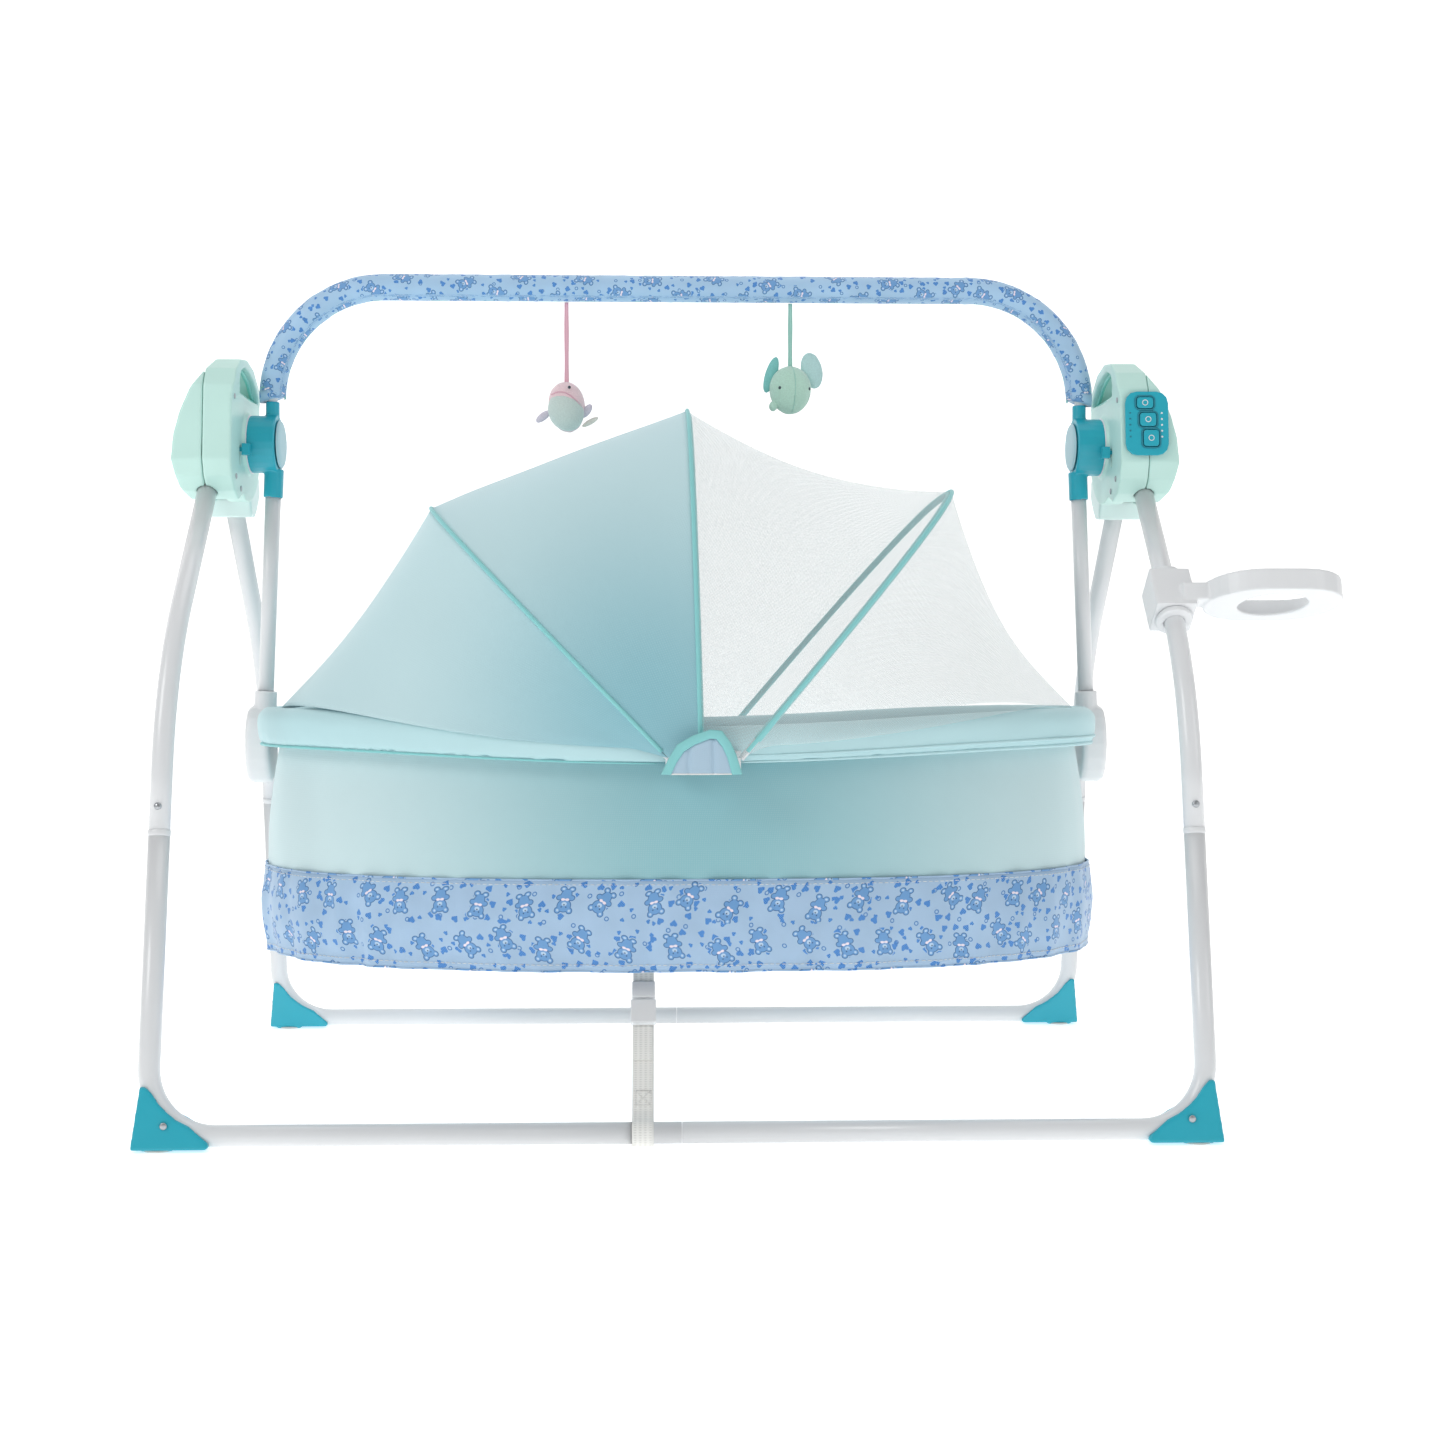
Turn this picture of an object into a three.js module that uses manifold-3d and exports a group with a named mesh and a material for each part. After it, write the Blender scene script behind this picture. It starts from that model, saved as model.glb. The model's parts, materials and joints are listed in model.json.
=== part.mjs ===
// Electric baby swing: a folding tube stand carries a fabric cradle that hangs between two drive housings.
// Millimetres, +Z up, the floor at z = 0, the front at -Y. Right-hand pieces are drawn at +X and mirrored.
import * as THREE from "three";
import { mergeVertices } from "three/addons/utils/BufferGeometryUtils.js";
import Module from "manifold-3d";

const wasm = await Module();
wasm.setup();

// ---- Driving dimensions -------------------------------------------------------------------------
const GAP = 0.4; // clearance between pieces that touch

const AXIS_Z = 680; // height of the swing axis, which runs along X through y = 0
const LEG_X = 488.6; // plane of the stand's legs
const TUBE_R = 10;
const TUBE_WALL = 1.5;
const FLOOR_Y = 310; // floor tubes at y = +-FLOOR_Y
const FLOOR_Z = 12;
const FLOOR_BEND = 62;
const SEAM = { y: 258, z: 285 }; // where upper and lower leg meet
const LEG_TOP = { y: 31.7, z: 656.3 };
const LEG_CORNER = { y: 229.3, z: 435.5 };
const LEG_BEND = 330;
const LEG_LEAN = (FLOOR_Y - SEAM.y) / (SEAM.z - FLOOR_Z);

const HOUSING = { inner: 459, outer: 520, wall: 3, bottomR: 61 };
const KNUCKLE = { from: 463, to: 515, near: 62, far: 91, angle: -42, half: 21, tongue: 7 };
const AXLE_R = 8;
const HUB = { from: 426.5, to: 455.2, r: 30.5 };
const ARM = { r: 8.2, topX: 432, topZ: 648, lowX: 442.5, lowZ: 395 };
const SOCKET_X = 433; // toy bar sockets on the hubs

const RIM = { a: 429, b: 250, z: 387, dip: 16, power: 2.5, tubeR: 7, rollR: 15 };
const RIM_HUB = { from: 433.5, to: 460, z: 360, halfY: 22, halfZ: 36, bevel: 5 };
const BASKET = { bottom: 153, floor: 157, wall: 3 };

const BAR = { r: 5, foot: 694, top: 848, bend: 120, sleeveR: 14, sleeveFoot: 736 };
const TOY_X = 120;
const TOY_PIVOT = 833;

const PIN_R = 3;
const RIB_R = 3;
const RIB_POWER = 2.4;
const FABRIC = 1.2;
const FABRIC_OUT = 9.5; // how far the canopy fabric stands off the rib's centreline
const RIBS = [
  { half: 272, footX: -12, apexX: -257, apexZ: 606 },
  { half: 283, footX: 18, apexX: 8.5, apexZ: 708 },
  { half: 289, footX: 55, apexX: 284, apexZ: 625 },
];
const RIB_FOOT_Z = 355;
const RIB_PIN = { x: 48, z: 352 };

const PANEL = { x: 485, y: -84.6, z: 694.5, w: 45, h: 67, thick: 2.6, tilt: -5.2 };
const BUTTONS = [
  { name: "button_timer", x: -2, z: 21.5, w: 17, h: 11.5 },
  { name: "button_speed", x: 1, z: 4, w: 17, h: 14 },
  { name: "button_power", x: 4, z: -15.5, w: 16, h: 17 },
];

const TRAY = { x: 588, y: -176, z: 513, halfX: 68, halfY: 50, wall: 22, tilt: -16 };
const TRAY_END = TRAY.x + TRAY.halfX;
const STRAP = { x: -36, half: 10, thick: 3, angle: 56.9 };

// The housings' outer faces and the tray's end are the widest points; the part is centred between them.
const CENTRE_X = (TRAY_END - HOUSING.outer) / 2;

// ---- Materials ----------------------------------------------------------------------------------
function material(color, roughness, metalness = 0) {
  return new THREE.MeshStandardMaterial({ color, roughness, metalness });
}
const WHITE_STEEL = material(0xeeeeee, 0.35, 0.1);
const WHITE_PLASTIC = material(0xf2f2f2, 0.4);
const MINT_PLASTIC = material(0xcdeee6, 0.35);
const PALE_MINT = material(0xdff3f0, 0.35);
const TEAL_PLASTIC = material(0x22adc0, 0.35);
const CAP_PLASTIC = material(0xa9cfd9, 0.4);
const STEEL = material(0xb8bcc0, 0.3, 0.9);
const BOARD = material(0x2f7a4f, 0.6);
const AQUA_FABRIC = material(0xc3e3e6, 0.9);
const NET_FABRIC = material(0xecf2f2, 0.9);
const PRINT_FABRIC = material(0xa9cbe6, 0.9);
const PINK_PLUSH = material(0xf5cfd6, 0.95);
const MINT_PLUSH = material(0xa9ddd0, 0.95);
const WEBBING = material(0xf2f2f2, 0.85);

// ---- Solids -------------------------------------------------------------------------------------
// A closed three.js geometry as a solid; a profile drawn the other way round is turned outwards.
function solid(geometry) {
  const bare = geometry.clone();
  for (const key of Object.keys(bare.attributes)) {
    if (key !== "position") bare.deleteAttribute(key);
  }
  const merged = mergeVertices(bare, 1e-3);
  const triVerts = new Uint32Array(merged.index.array);
  const vertProperties = new Float32Array(merged.attributes.position.array);
  const build = () => new wasm.Manifold(new wasm.Mesh({ numProp: 3, vertProperties, triVerts }));
  const made = build();
  if (made.volume() >= 0) return made;
  for (let i = 0; i < triVerts.length; i += 3) {
    [triVerts[i + 1], triVerts[i + 2]] = [triVerts[i + 2], triVerts[i + 1]];
  }
  return build();
}

function geometryOf(body) {
  const mesh = body.getMesh();
  const geometry = new THREE.BufferGeometry();
  geometry.setAttribute("position", new THREE.BufferAttribute(mesh.vertProperties, 3));
  geometry.setIndex(new THREE.BufferAttribute(mesh.triVerts, 1));
  geometry.computeVertexNormals();
  return geometry;
}

function join(first, ...rest) {
  return rest.reduce((sum, next) => sum.add(next), first);
}

function cut(first, ...rest) {
  return rest.reduce((left, next) => left.subtract(next), first);
}

// Extrusions of a shape along each axis, from one coordinate to another.
function along(axes, shape, from, to, place, options) {
  const geometry = new THREE.ExtrudeGeometry(shape, { depth: to - from, bevelEnabled: false, ...options });
  geometry.applyMatrix4(new THREE.Matrix4().makeBasis(...axes));
  geometry.translate(...place);
  return geometry;
}
const X = new THREE.Vector3(1, 0, 0);
const Y = new THREE.Vector3(0, 1, 0);
const Z = new THREE.Vector3(0, 0, 1);

// Shape drawn in (y, z), (x, z) or (x, y).
function alongX(shape, from, to, options) {
  return solid(along([Y, Z, X], shape, from, to, [from, 0, 0], options));
}
function alongY(shape, from, to, options) {
  return solid(along([X, Z, Y.clone().negate()], shape, from, to, [0, to, 0], options));
}
function alongZ(shape, from, to, options) {
  return solid(along([X, Y, Z], shape, from, to, [0, 0, from], options));
}

function box(x0, x1, y0, y1, z0, z1) {
  const geometry = new THREE.BoxGeometry(x1 - x0, y1 - y0, z1 - z0);
  geometry.translate((x0 + x1) / 2, (y0 + y1) / 2, (z0 + z1) / 2);
  return solid(geometry);
}

// A cylinder between two points.
function rod(a, b, radius, sides = 16) {
  const from = new THREE.Vector3(...a);
  const to = new THREE.Vector3(...b);
  const length = from.distanceTo(to);
  const geometry = new THREE.CylinderGeometry(radius, radius, length, sides);
  geometry.translate(0, length / 2, 0);
  const turn = new THREE.Quaternion().setFromUnitVectors(Y, to.clone().sub(from).normalize());
  geometry.applyQuaternion(turn);
  geometry.translate(...a);
  return solid(geometry);
}

function circle(radius, sides, cx = 0, cy = 0) {
  return Array.from({ length: sides }, (_, i) => {
    const turn = (2 * Math.PI * i) / sides;
    return new THREE.Vector2(cx + radius * Math.cos(turn), cy + radius * Math.sin(turn));
  });
}

function polygon(points) {
  return new THREE.Shape(points.map(([u, v]) => new THREE.Vector2(u, v)));
}

function roundedBox(w, h, r, cx = 0, cy = 0, steps = 3) {
  const points = [];
  [[1, 1], [-1, 1], [-1, -1], [1, -1]].forEach(([sx, sy], corner) => {
    for (let i = 0; i <= steps; i++) {
      const turn = (Math.PI / 2) * (corner + i / steps);
      const x = cx + sx * (w / 2 - r) + r * Math.cos(turn);
      const y = cy + sy * (h / 2 - r) + r * Math.sin(turn);
      points.push(new THREE.Vector2(x, y));
    }
  });
  return new THREE.Shape(points);
}

// Points of an arc about the swing axis, in (y, z), by angle in degrees from +Y.
function axisArc(radius, from, to, steps) {
  return Array.from({ length: steps + 1 }, (_, i) => {
    const turn = THREE.MathUtils.degToRad(from + ((to - from) * i) / steps);
    return [radius * Math.cos(turn), AXIS_Z + radius * Math.sin(turn)];
  });
}

// ---- Bent tubes ---------------------------------------------------------------------------------
// A centreline of straight runs and round bends, with stations only at the ends of runs and in bends.
class BentLine extends THREE.Curve {
  constructor(corners, bends, arcSteps = 4) {
    super();
    const at = corners.map((c) => new THREE.Vector3(...c));
    this.stations = [];
    this.tangents = [];
    const push = (point, tangent) => {
      const last = this.stations[this.stations.length - 1];
      if (last && last.distanceTo(point) < 0.01) return;
      this.stations.push(point);
      this.tangents.push(tangent);
    };
    push(at[0], at[1].clone().sub(at[0]).normalize());
    for (let i = 1; i < at.length - 1; i++) {
      const into = at[i].clone().sub(at[i - 1]).normalize();
      const out = at[i + 1].clone().sub(at[i]).normalize();
      const angle = into.angleTo(out);
      const radius = bends[i - 1];
      const start = at[i].clone().addScaledVector(into, -radius * Math.tan(angle / 2));
      const side = out.clone().addScaledVector(into, -Math.cos(angle)).normalize();
      for (let k = 0; k <= arcSteps; k++) {
        const turn = (angle * k) / arcSteps;
        const point = start.clone().addScaledVector(into, radius * Math.sin(turn));
        point.addScaledVector(side, radius * (1 - Math.cos(turn)));
        const tangent = into.clone().multiplyScalar(Math.cos(turn)).addScaledVector(side, Math.sin(turn));
        push(point, tangent);
      }
    }
    const last = at[at.length - 1];
    push(last, last.clone().sub(at[at.length - 2]).normalize());
  }
  getPoint(t, target = new THREE.Vector3()) {
    return target.copy(this.stations[Math.round(t * (this.stations.length - 1))]);
  }
  getPointAt(t, target) {
    return this.getPoint(t, target);
  }
  getTangentAt(t, target = new THREE.Vector3()) {
    return target.copy(this.tangents[Math.round(t * (this.stations.length - 1))]);
  }
}

function tube(line, outer, inner = 0, sides = 12) {
  const shape = new THREE.Shape(circle(outer, sides));
  if (inner) shape.holes.push(new THREE.Path(circle(inner, sides / 2)));
  const steps = line.stations.length - 1;
  return solid(new THREE.ExtrudeGeometry(shape, { steps, extrudePath: line, bevelEnabled: false }));
}

// ---- Scene graph --------------------------------------------------------------------------------
const swingSet = new THREE.Group();
swingSet.position.x = -CENTRE_X;

function group(parent = swingSet) {
  const made = new THREE.Group();
  parent.add(made);
  return made;
}

function place(parent, name, body, look) {
  const mesh = new THREE.Mesh(geometryOf(body), look);
  mesh.name = name;
  parent.add(mesh);
  return mesh;
}

// The right-hand piece and its mirror image.
function placePair(parent, name, body, look) {
  place(parent, `${name}_right`, body, look);
  place(parent, `${name}_left`, body, look).scale.x = -1;
}

const stand = group();
const rearStand = group();
const swing = group();

// ---- Legs, floor tubes and feet -----------------------------------------------------------------
// Drawn for the front right corner; the rear is its mirror image.
function upperLegLine(top) {
  return new BentLine(
    [[LEG_X, -top.y, top.z], [LEG_X, -LEG_CORNER.y, LEG_CORNER.z], [LEG_X, -SEAM.y, SEAM.z + GAP]],
    [LEG_BEND],
  );
}

function lowerLegLine(end) {
  return new BentLine(
    [[LEG_X, -SEAM.y, SEAM.z], [LEG_X, -FLOOR_Y, FLOOR_Z], [end, -FLOOR_Y, FLOOR_Z]],
    [FLOOR_BEND],
  );
}

// Lies in the plane of the bend, which leans with the leg.
function leaned(geometryBody) {
  const lean = new THREE.Matrix4().makeShear(0, 0, 0, 0, 0, LEG_LEAN);
  const moved = geometryOf(geometryBody).translate(0, 0, -FLOOR_Z).applyMatrix4(lean);
  return solid(moved.translate(0, 0, FLOOR_Z));
}

function makeFoot() {
  const gusset = polygon([
    [500, 3.2], [499, 2.2], [432, 2.2], [429, 5], [431, 9], [446, 22], [462, 30.5],
    [474, 41], [483, 53.5], [489, 58.5], [493.5, 58],
  ]);
  const cheek = 13.6;
  const block = leaned(alongY(gusset, -FLOOR_Y - cheek, -FLOOR_Y + cheek));
  const pad = box(463, 491, -FLOOR_Y - 9, -FLOOR_Y + 9, 0, 2.6);
  return cut(join(block, pad), tube(lowerLegLine(360), TUBE_R + GAP));
}

function makeCorner(parent, end, topOfLeg) {
  const side = group(parent);
  if (end === "rear") side.scale.y = -1;
  const wallR = TUBE_R - TUBE_WALL;
  placePair(side, `${end}_upper_leg`, tube(upperLegLine(topOfLeg), TUBE_R, wallR), WHITE_STEEL);
  placePair(side, `${end}_lower_frame`, tube(lowerLegLine(GAP / 2), TUBE_R, wallR), WHITE_STEEL);
  placePair(side, `${end}_foot`, makeFoot(), TEAL_PLASTIC);
}

// ---- Drive housings -----------------------------------------------------------------------------
function housingOutline() {
  return polygon([
    ...axisArc(HOUSING.bottomR, -114, 4, 12),
    [61, 702], [58, 722], [44, 744], [16, 761], [-16, 767], [-46, 763], [-68, 750],
    [-79, 732], [-86, 655], [-80, 638], [-66, 624], [-45, 617],
  ]);
}

function housingFront() {
  return polygon([
    [HOUSING.inner, 610], [506, 612], [515, 628], [HOUSING.outer, 654], [518, 680], [512, 704],
    [502, 728], [488, 750], [480, 770], [456, 770], [456, 735], [HOUSING.inner, 722],
  ]);
}

function housingCavity() {
  const side = polygon([
    ...axisArc(HOUSING.bottomR - HOUSING.wall, -112, 2, 10),
    [57, 704], [48, 718], [-40, 722], [-73, 714], [-82, 660], [-74, 643],
  ]);
  const front = polygon([
    [HOUSING.inner + HOUSING.wall, 610], [505, 620], [512, 634], [517, 655], [515, 680], [509, 702],
    [499, 726], [HOUSING.inner + HOUSING.wall, 726],
  ]);
  return alongX(side, 450, 530).intersect(alongY(front, -100, 100));
}

function handleOpening() {
  const opening = polygon([
    [-54, 738], [-46, 751], [-28, 757], [-8, 756], [14, 750], [34, 738], [46, 729], [0, 727], [-46, 729],
  ]);
  return alongX(opening, 440, 530);
}

// The slot through which the rear leg's tongue swings as the stand folds.
function foldSlot() {
  const slot = polygon([...axisArc(48, -112, -14, 8), ...axisArc(70, -14, -112, 8)]);
  return alongX(slot, LEG_X - KNUCKLE.tongue - 1, LEG_X + KNUCKLE.tongue + 1);
}

function makeHousing() {
  const outer = alongX(housingOutline(), 450, 530).intersect(alongY(housingFront(), -120, 120));
  const ring = rod([455.6, 0, AXIS_Z], [HOUSING.inner + 1, 0, AXIS_Z], 33, 28);
  const latchSlot = box(450, 470, -41.8, -37.2, 654.5, 672.8);
  return cut(
    join(outer, ring),
    housingCavity(),
    handleOpening(),
    foldSlot(),
    rod([440, 0, AXIS_Z], [480, 0, AXIS_Z], AXLE_R + GAP, 20),
    tube(upperLegLine(LEG_TOP), TUBE_R + GAP),
    latchSlot,
  );
}

// The face that carries the control panel: a tilted frame whose own Y points into the housing.
function panelFrame(parent) {
  const frame = group(parent);
  frame.position.set(PANEL.x, PANEL.y, PANEL.z);
  frame.rotation.x = THREE.MathUtils.degToRad(PANEL.tilt);
  frame.updateMatrix();
  return frame;
}

function inFrame(frame, body) {
  return solid(geometryOf(body).applyMatrix4(frame.matrix));
}

function makeHousings() {
  const frame = panelFrame(stand);
  const openings = BUTTONS.map((b) => {
    const shape = roundedBox(b.w + 1.2, b.h + 1.2, 3.6, b.x, b.z);
    return alongY(shape, -8, 12);
  });
  const seat = alongY(roundedBox(PANEL.w + 1, PANEL.h + 1, 12.5), -14, 0);
  const whole = makeHousing();
  const right = cut(whole, inFrame(frame, seat), ...openings.map((o) => inFrame(frame, o)));
  const inner = box(440, LEG_X - GAP / 2, -150, 150, 600, 800);
  const outer = box(LEG_X + GAP / 2, 540, -150, 150, 600, 800);
  place(stand, "housing_inner_right", right.intersect(inner), MINT_PLASTIC);
  place(stand, "housing_outer_right", right.intersect(outer), MINT_PLASTIC);
  place(stand, "housing_inner_left", whole.intersect(inner), MINT_PLASTIC).scale.x = -1;
  place(stand, "housing_outer_left", whole.intersect(outer), MINT_PLASTIC).scale.x = -1;
  makeControls(frame, openings);
}

function makeControls(frame, openings) {
  const plate = alongY(roundedBox(PANEL.w, PANEL.h, 12), -PANEL.thick - GAP, -GAP);
  place(frame, "control_panel", cut(plate, ...openings), TEAL_PLASTIC);
  for (const b of BUTTONS) {
    const cap = alongY(roundedBox(b.w, b.h, 3, b.x, b.z), -4.4, 5);
    place(group(frame), b.name, cap, TEAL_PLASTIC);
  }
}

function makeDriveBoard() {
  const board = box(508.5, 510.5, -30, 22, 636, 692);
  const coil = rod([505.8, 0, 650], [508.8, 0, 650], 13, 20);
  return cut(join(board, coil), rod([505, 0, 650], [508, 0, 650], 6, 12));
}

function makeLatch() {
  const knob = box(449, 457, -43, -36, 664, 676);
  return join(knob, box(456, 465, -41, -38, 668, 672));
}

function makeKnuckle() {
  const low = KNUCKLE.angle - KNUCKLE.half;
  const high = KNUCKLE.angle + KNUCKLE.half;
  const lobe = polygon([
    ...axisArc(KNUCKLE.near, high, low, 5),
    ...axisArc(KNUCKLE.far - 8, low, low + 4, 1),
    ...axisArc(KNUCKLE.far, low + 9, high - 9, 3),
    ...axisArc(KNUCKLE.far - 8, high - 4, high, 1),
  ]);
  const tongue = polygon([
    ...axisArc(KNUCKLE.near + 4, low + 3, high - 3, 5),
    ...axisArc(12, high, low, 4),
  ]);
  const boss = rod([LEG_X - KNUCKLE.tongue, 0, AXIS_Z], [LEG_X + KNUCKLE.tongue, 0, AXIS_Z], 15, 20);
  const bore = rod([470, 0, AXIS_Z], [505, 0, AXIS_Z], AXLE_R + GAP, 20);
  const body = join(
    alongX(lobe, KNUCKLE.from, KNUCKLE.to),
    alongX(tongue, LEG_X - KNUCKLE.tongue, LEG_X + KNUCKLE.tongue),
    boss,
  );
  const leg = solid(geometryOf(tube(upperLegLine(REAR_LEG_TOP), TUBE_R + GAP)).scale(1, -1, 1));
  return cut(body, bore, leg);
}
const REAR_LEG_TOP = { y: 51, z: 634.7 };

// ---- Swing hangers ------------------------------------------------------------------------------
function armLine(fromZ, toZ) {
  const slope = (ARM.lowX - ARM.topX) / (ARM.topZ - ARM.lowZ);
  const at = (z) => [ARM.topX + (ARM.topZ - z) * slope, 0, z];
  return [at(fromZ), at(toZ)];
}

function makeHub() {
  const drum = rod([HUB.from, 0, AXIS_Z], [HUB.to, 0, AXIS_Z], HUB.r, 24);
  const upper = rod([SOCKET_X, 0, AXIS_Z + 20], [SOCKET_X, 0, 725], 7.3, 14);
  const lower = rod(...armLine(653.4, 623), 10.3, 14);
  return cut(
    join(drum, upper, lower),
    rod([SOCKET_X, 0, BAR.foot - 1], [SOCKET_X, 0, 730], BAR.r + GAP, 12),
    rod(...armLine(ARM.topZ + 1, 610), ARM.r + GAP, 12),
    rod([433, 0, AXIS_Z], [460, 0, AXIS_Z], AXLE_R + GAP, 20),
  );
}

function makeHubCap() {
  const profile = [[0, 421.5], [18, 421.8], [24, 423], [26, 425.2], [0, 425.2]];
  const geometry = new THREE.LatheGeometry(profile.map(([r, h]) => new THREE.Vector2(r, h)), 24);
  return solid(geometry.applyMatrix4(new THREE.Matrix4().makeBasis(Y, X, Z)).translate(0, 0, AXIS_Z));
}

function makeAxle() {
  return rod([433.4, 0, AXIS_Z], [507, 0, AXIS_Z], AXLE_R, 16);
}

// The driven end also carries a lever whose magnet passes the coil.
function makeDrivenAxle() {
  return join(makeAxle(), box(499, 504.6, -5, 5, 648, AXIS_Z), box(499, 504.6, -9, 9, 640, 654));
}

function makeArm() {
  const line = new BentLine(armLine(ARM.topZ, ARM.lowZ), []);
  return tube(line, ARM.r, ARM.r - TUBE_WALL);
}

function makeRimHub() {
  const { halfY, halfZ } = RIM_HUB;
  const oval = circle(1, 16).map((p) => new THREE.Vector2(p.x * halfY, RIM_HUB.z + p.y * halfZ));
  const bevel = { bevelEnabled: true, bevelThickness: 5, bevelSize: 5, bevelSegments: 2 };
  const pod = alongX(new THREE.Shape(oval), RIM_HUB.from + 5, RIM_HUB.to - 5, bevel);
  const collar = rod(...armLine(417, 385), 12, 14);
  const bore = rod(...armLine(420, ARM.lowZ - 1), ARM.r + GAP, 12);
  return cut(join(pod, collar), bore, box(410, 436.6, -60, 60, RIM.z - 8, RIM.z + 8));
}

// ---- Cradle -------------------------------------------------------------------------------------
// Rings of the cradle follow one rounded oval, which is wider along X by a fixed amount.
const EXTRA_X = RIM.a - RIM.b;
const RING_SEGMENTS = 32;

function rounded(value) {
  return Math.sign(value) * Math.abs(value) ** (2 / RIM.power);
}

// The rim sinks towards the middle of both long sides; this is its drop at x, by height above the floor.
function sink(x, z) {
  const middle = Math.cos((Math.PI / 2) * THREE.MathUtils.clamp(x / RIM.a, -1, 1)) ** 2;
  const share = THREE.MathUtils.clamp((z - 250) / (RIM.z - 250), 0, 1);
  return RIM.dip * middle * share;
}

// A turned profile of [half-width along Y, height], stretched to the oval.
function ovalRing(profile) {
  const points = profile.map(([r, z]) => new THREE.Vector2(r, z));
  const geometry = new THREE.LatheGeometry(points, RING_SEGMENTS);
  geometry.rotateX(Math.PI / 2);
  const at = geometry.attributes.position;
  for (let i = 0; i < at.count; i++) {
    const r = Math.hypot(at.getX(i), at.getY(i));
    const c = r ? at.getX(i) / r : 0;
    const s = r ? at.getY(i) / r : 0;
    const wide = r + EXTRA_X * Math.min(r / 100, 1);
    const x = wide * rounded(c);
    const z = at.getZ(i);
    at.setXYZ(i, x, r * rounded(s), z - sink(x, z));
  }
  return solid(geometry);
}

function closed(points) {
  return [...points, points[0]];
}

function arcProfile(cr, cz, radius, from, to, steps) {
  return Array.from({ length: steps + 1 }, (_, i) => {
    const turn = THREE.MathUtils.degToRad(from + ((to - from) * i) / steps);
    return [cr + radius * Math.cos(turn), cz + radius * Math.sin(turn)];
  });
}

function makeRimTube() {
  return ovalRing(closed(arcProfile(RIM.b, RIM.z, RIM.tubeR, 0, 300, 5)));
}

function makeRimCover() {
  const skin = 2.6;
  const outer = arcProfile(RIM.b, RIM.z, RIM.rollR, 0, 180, 5);
  const inner = arcProfile(RIM.b, RIM.z, RIM.rollR - skin, 180, 0, 3);
  const hem = RIM.z - 25;
  const ring = ovalRing(closed([
    [RIM.b + RIM.rollR, hem], ...outer, [RIM.b - RIM.rollR, hem + 8],
    [RIM.b - RIM.rollR + skin, hem + 8], ...inner, [RIM.b + RIM.rollR - skin, hem],
  ]));
  const notch = (side) => {
    const x = [side * (RIM.a - 7.4), side * (RIM.a + 40)].sort((p, q) => p - q);
    return box(...x, -32, 32, 300, 430);
  };
  return cut(ring, notch(1), notch(-1));
}

function makeBasket() {
  const w = BASKET.wall;
  const outside = [[0, BASKET.bottom], [222, BASKET.bottom], [240, 180], [252, 240], [253, 300], [244, 360]];
  const inside = [
    [244 - w, 360], [253 - w, 300], [252 - w, 240], [240 - w, 181],
    [222 - w, BASKET.floor], [0, BASKET.floor],
  ];
  return ovalRing([...outside, ...inside]);
}

function makeSkirt() {
  return ovalRing(closed([[255.5, 247], [258, 247], [261, 150], [258.5, 150]]));
}

function makeMattress() {
  return ovalRing([[0, 158], [208, 158], [214, 165], [214, 180], [206, 187], [0, 187]]);
}

// ---- Canopy -------------------------------------------------------------------------------------
function ribFrame(rib) {
  const rise = new THREE.Vector3(rib.apexX - rib.footX, 0, rib.apexZ - RIB_FOOT_Z);
  const height = rise.length();
  const up = rise.normalize();
  const across = new THREE.Vector3(up.z, 0, -up.x); // normal of the rib's plane, towards +X
  return { foot: new THREE.Vector3(rib.footX, 0, RIB_FOOT_Z), up, across, height };
}

// Point of a rib's hoop at turn 0 (front foot) to pi (rear foot), moved out from the hoop and across it.
function hoopPoint(rib, turn, out = 0, across = 0) {
  const frame = ribFrame(rib);
  const e = 2 / RIB_POWER;
  const c = Math.cos(turn);
  const y = -Math.sign(c) * rib.half * Math.abs(c) ** e;
  const s = frame.height * Math.sin(turn) ** e;
  const point = frame.foot.clone().addScaledVector(frame.up, s);
  point.y = y;
  const n = new THREE.Vector2(Math.sign(y) * Math.abs(y / rib.half) ** (RIB_POWER - 1) / rib.half,
    (s / frame.height) ** (RIB_POWER - 1) / frame.height).normalize();
  point.addScaledVector(frame.up, n.y * out).addScaledVector(frame.across, across);
  point.y += n.x * out;
  return point;
}

// A hoop of wire with a flat link at each foot; the links of all the hoops turn on one pin at each side.
const HOOP_POINTS = 20;
function makeRib(rib) {
  const stations = [];
  for (let i = 0; i <= HOOP_POINTS; i++) {
    stations.push(hoopPoint(rib, Math.PI * (0.5 - 0.5 * Math.cos((Math.PI * i) / HOOP_POINTS))));
  }
  const path = new THREE.CatmullRomCurve3(stations);
  const hoop = new THREE.Shape(circle(RIB_R, 6));
  const wire = solid(new THREE.ExtrudeGeometry(hoop, { steps: 26, extrudePath: path, bevelEnabled: false }));
  const links = [-1, 1].map((side) => {
    const y = side * rib.half;
    const disc = (cx, cz, r, reach) => rod([cx, y - reach, cz], [cx, y + reach, cz], r, 10);
    const dx = RIB_PIN.x - rib.footX;
    const dz = RIB_PIN.z - RIB_FOOT_Z;
    const plate = new THREE.BoxGeometry(Math.hypot(dx, dz) + 6, 3, 7);
    plate.rotateY(-Math.atan2(dz, dx));
    plate.translate(rib.footX + dx / 2, y, RIB_FOOT_Z + dz / 2);
    const eye = disc(RIB_PIN.x, RIB_PIN.z, 6.5, 1.5);
    return join(solid(plate), eye, disc(rib.footX, RIB_FOOT_Z, 5.5, 1.5));
  });
  const bores = [-1, 1].map((side) => {
    const y = side * rib.half;
    return rod([RIB_PIN.x, y - 3, RIB_PIN.z], [RIB_PIN.x, y + 3, RIB_PIN.z], PIN_R + GAP, 10);
  });
  return cut(join(wire, ...links), ...bores);
}

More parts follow.
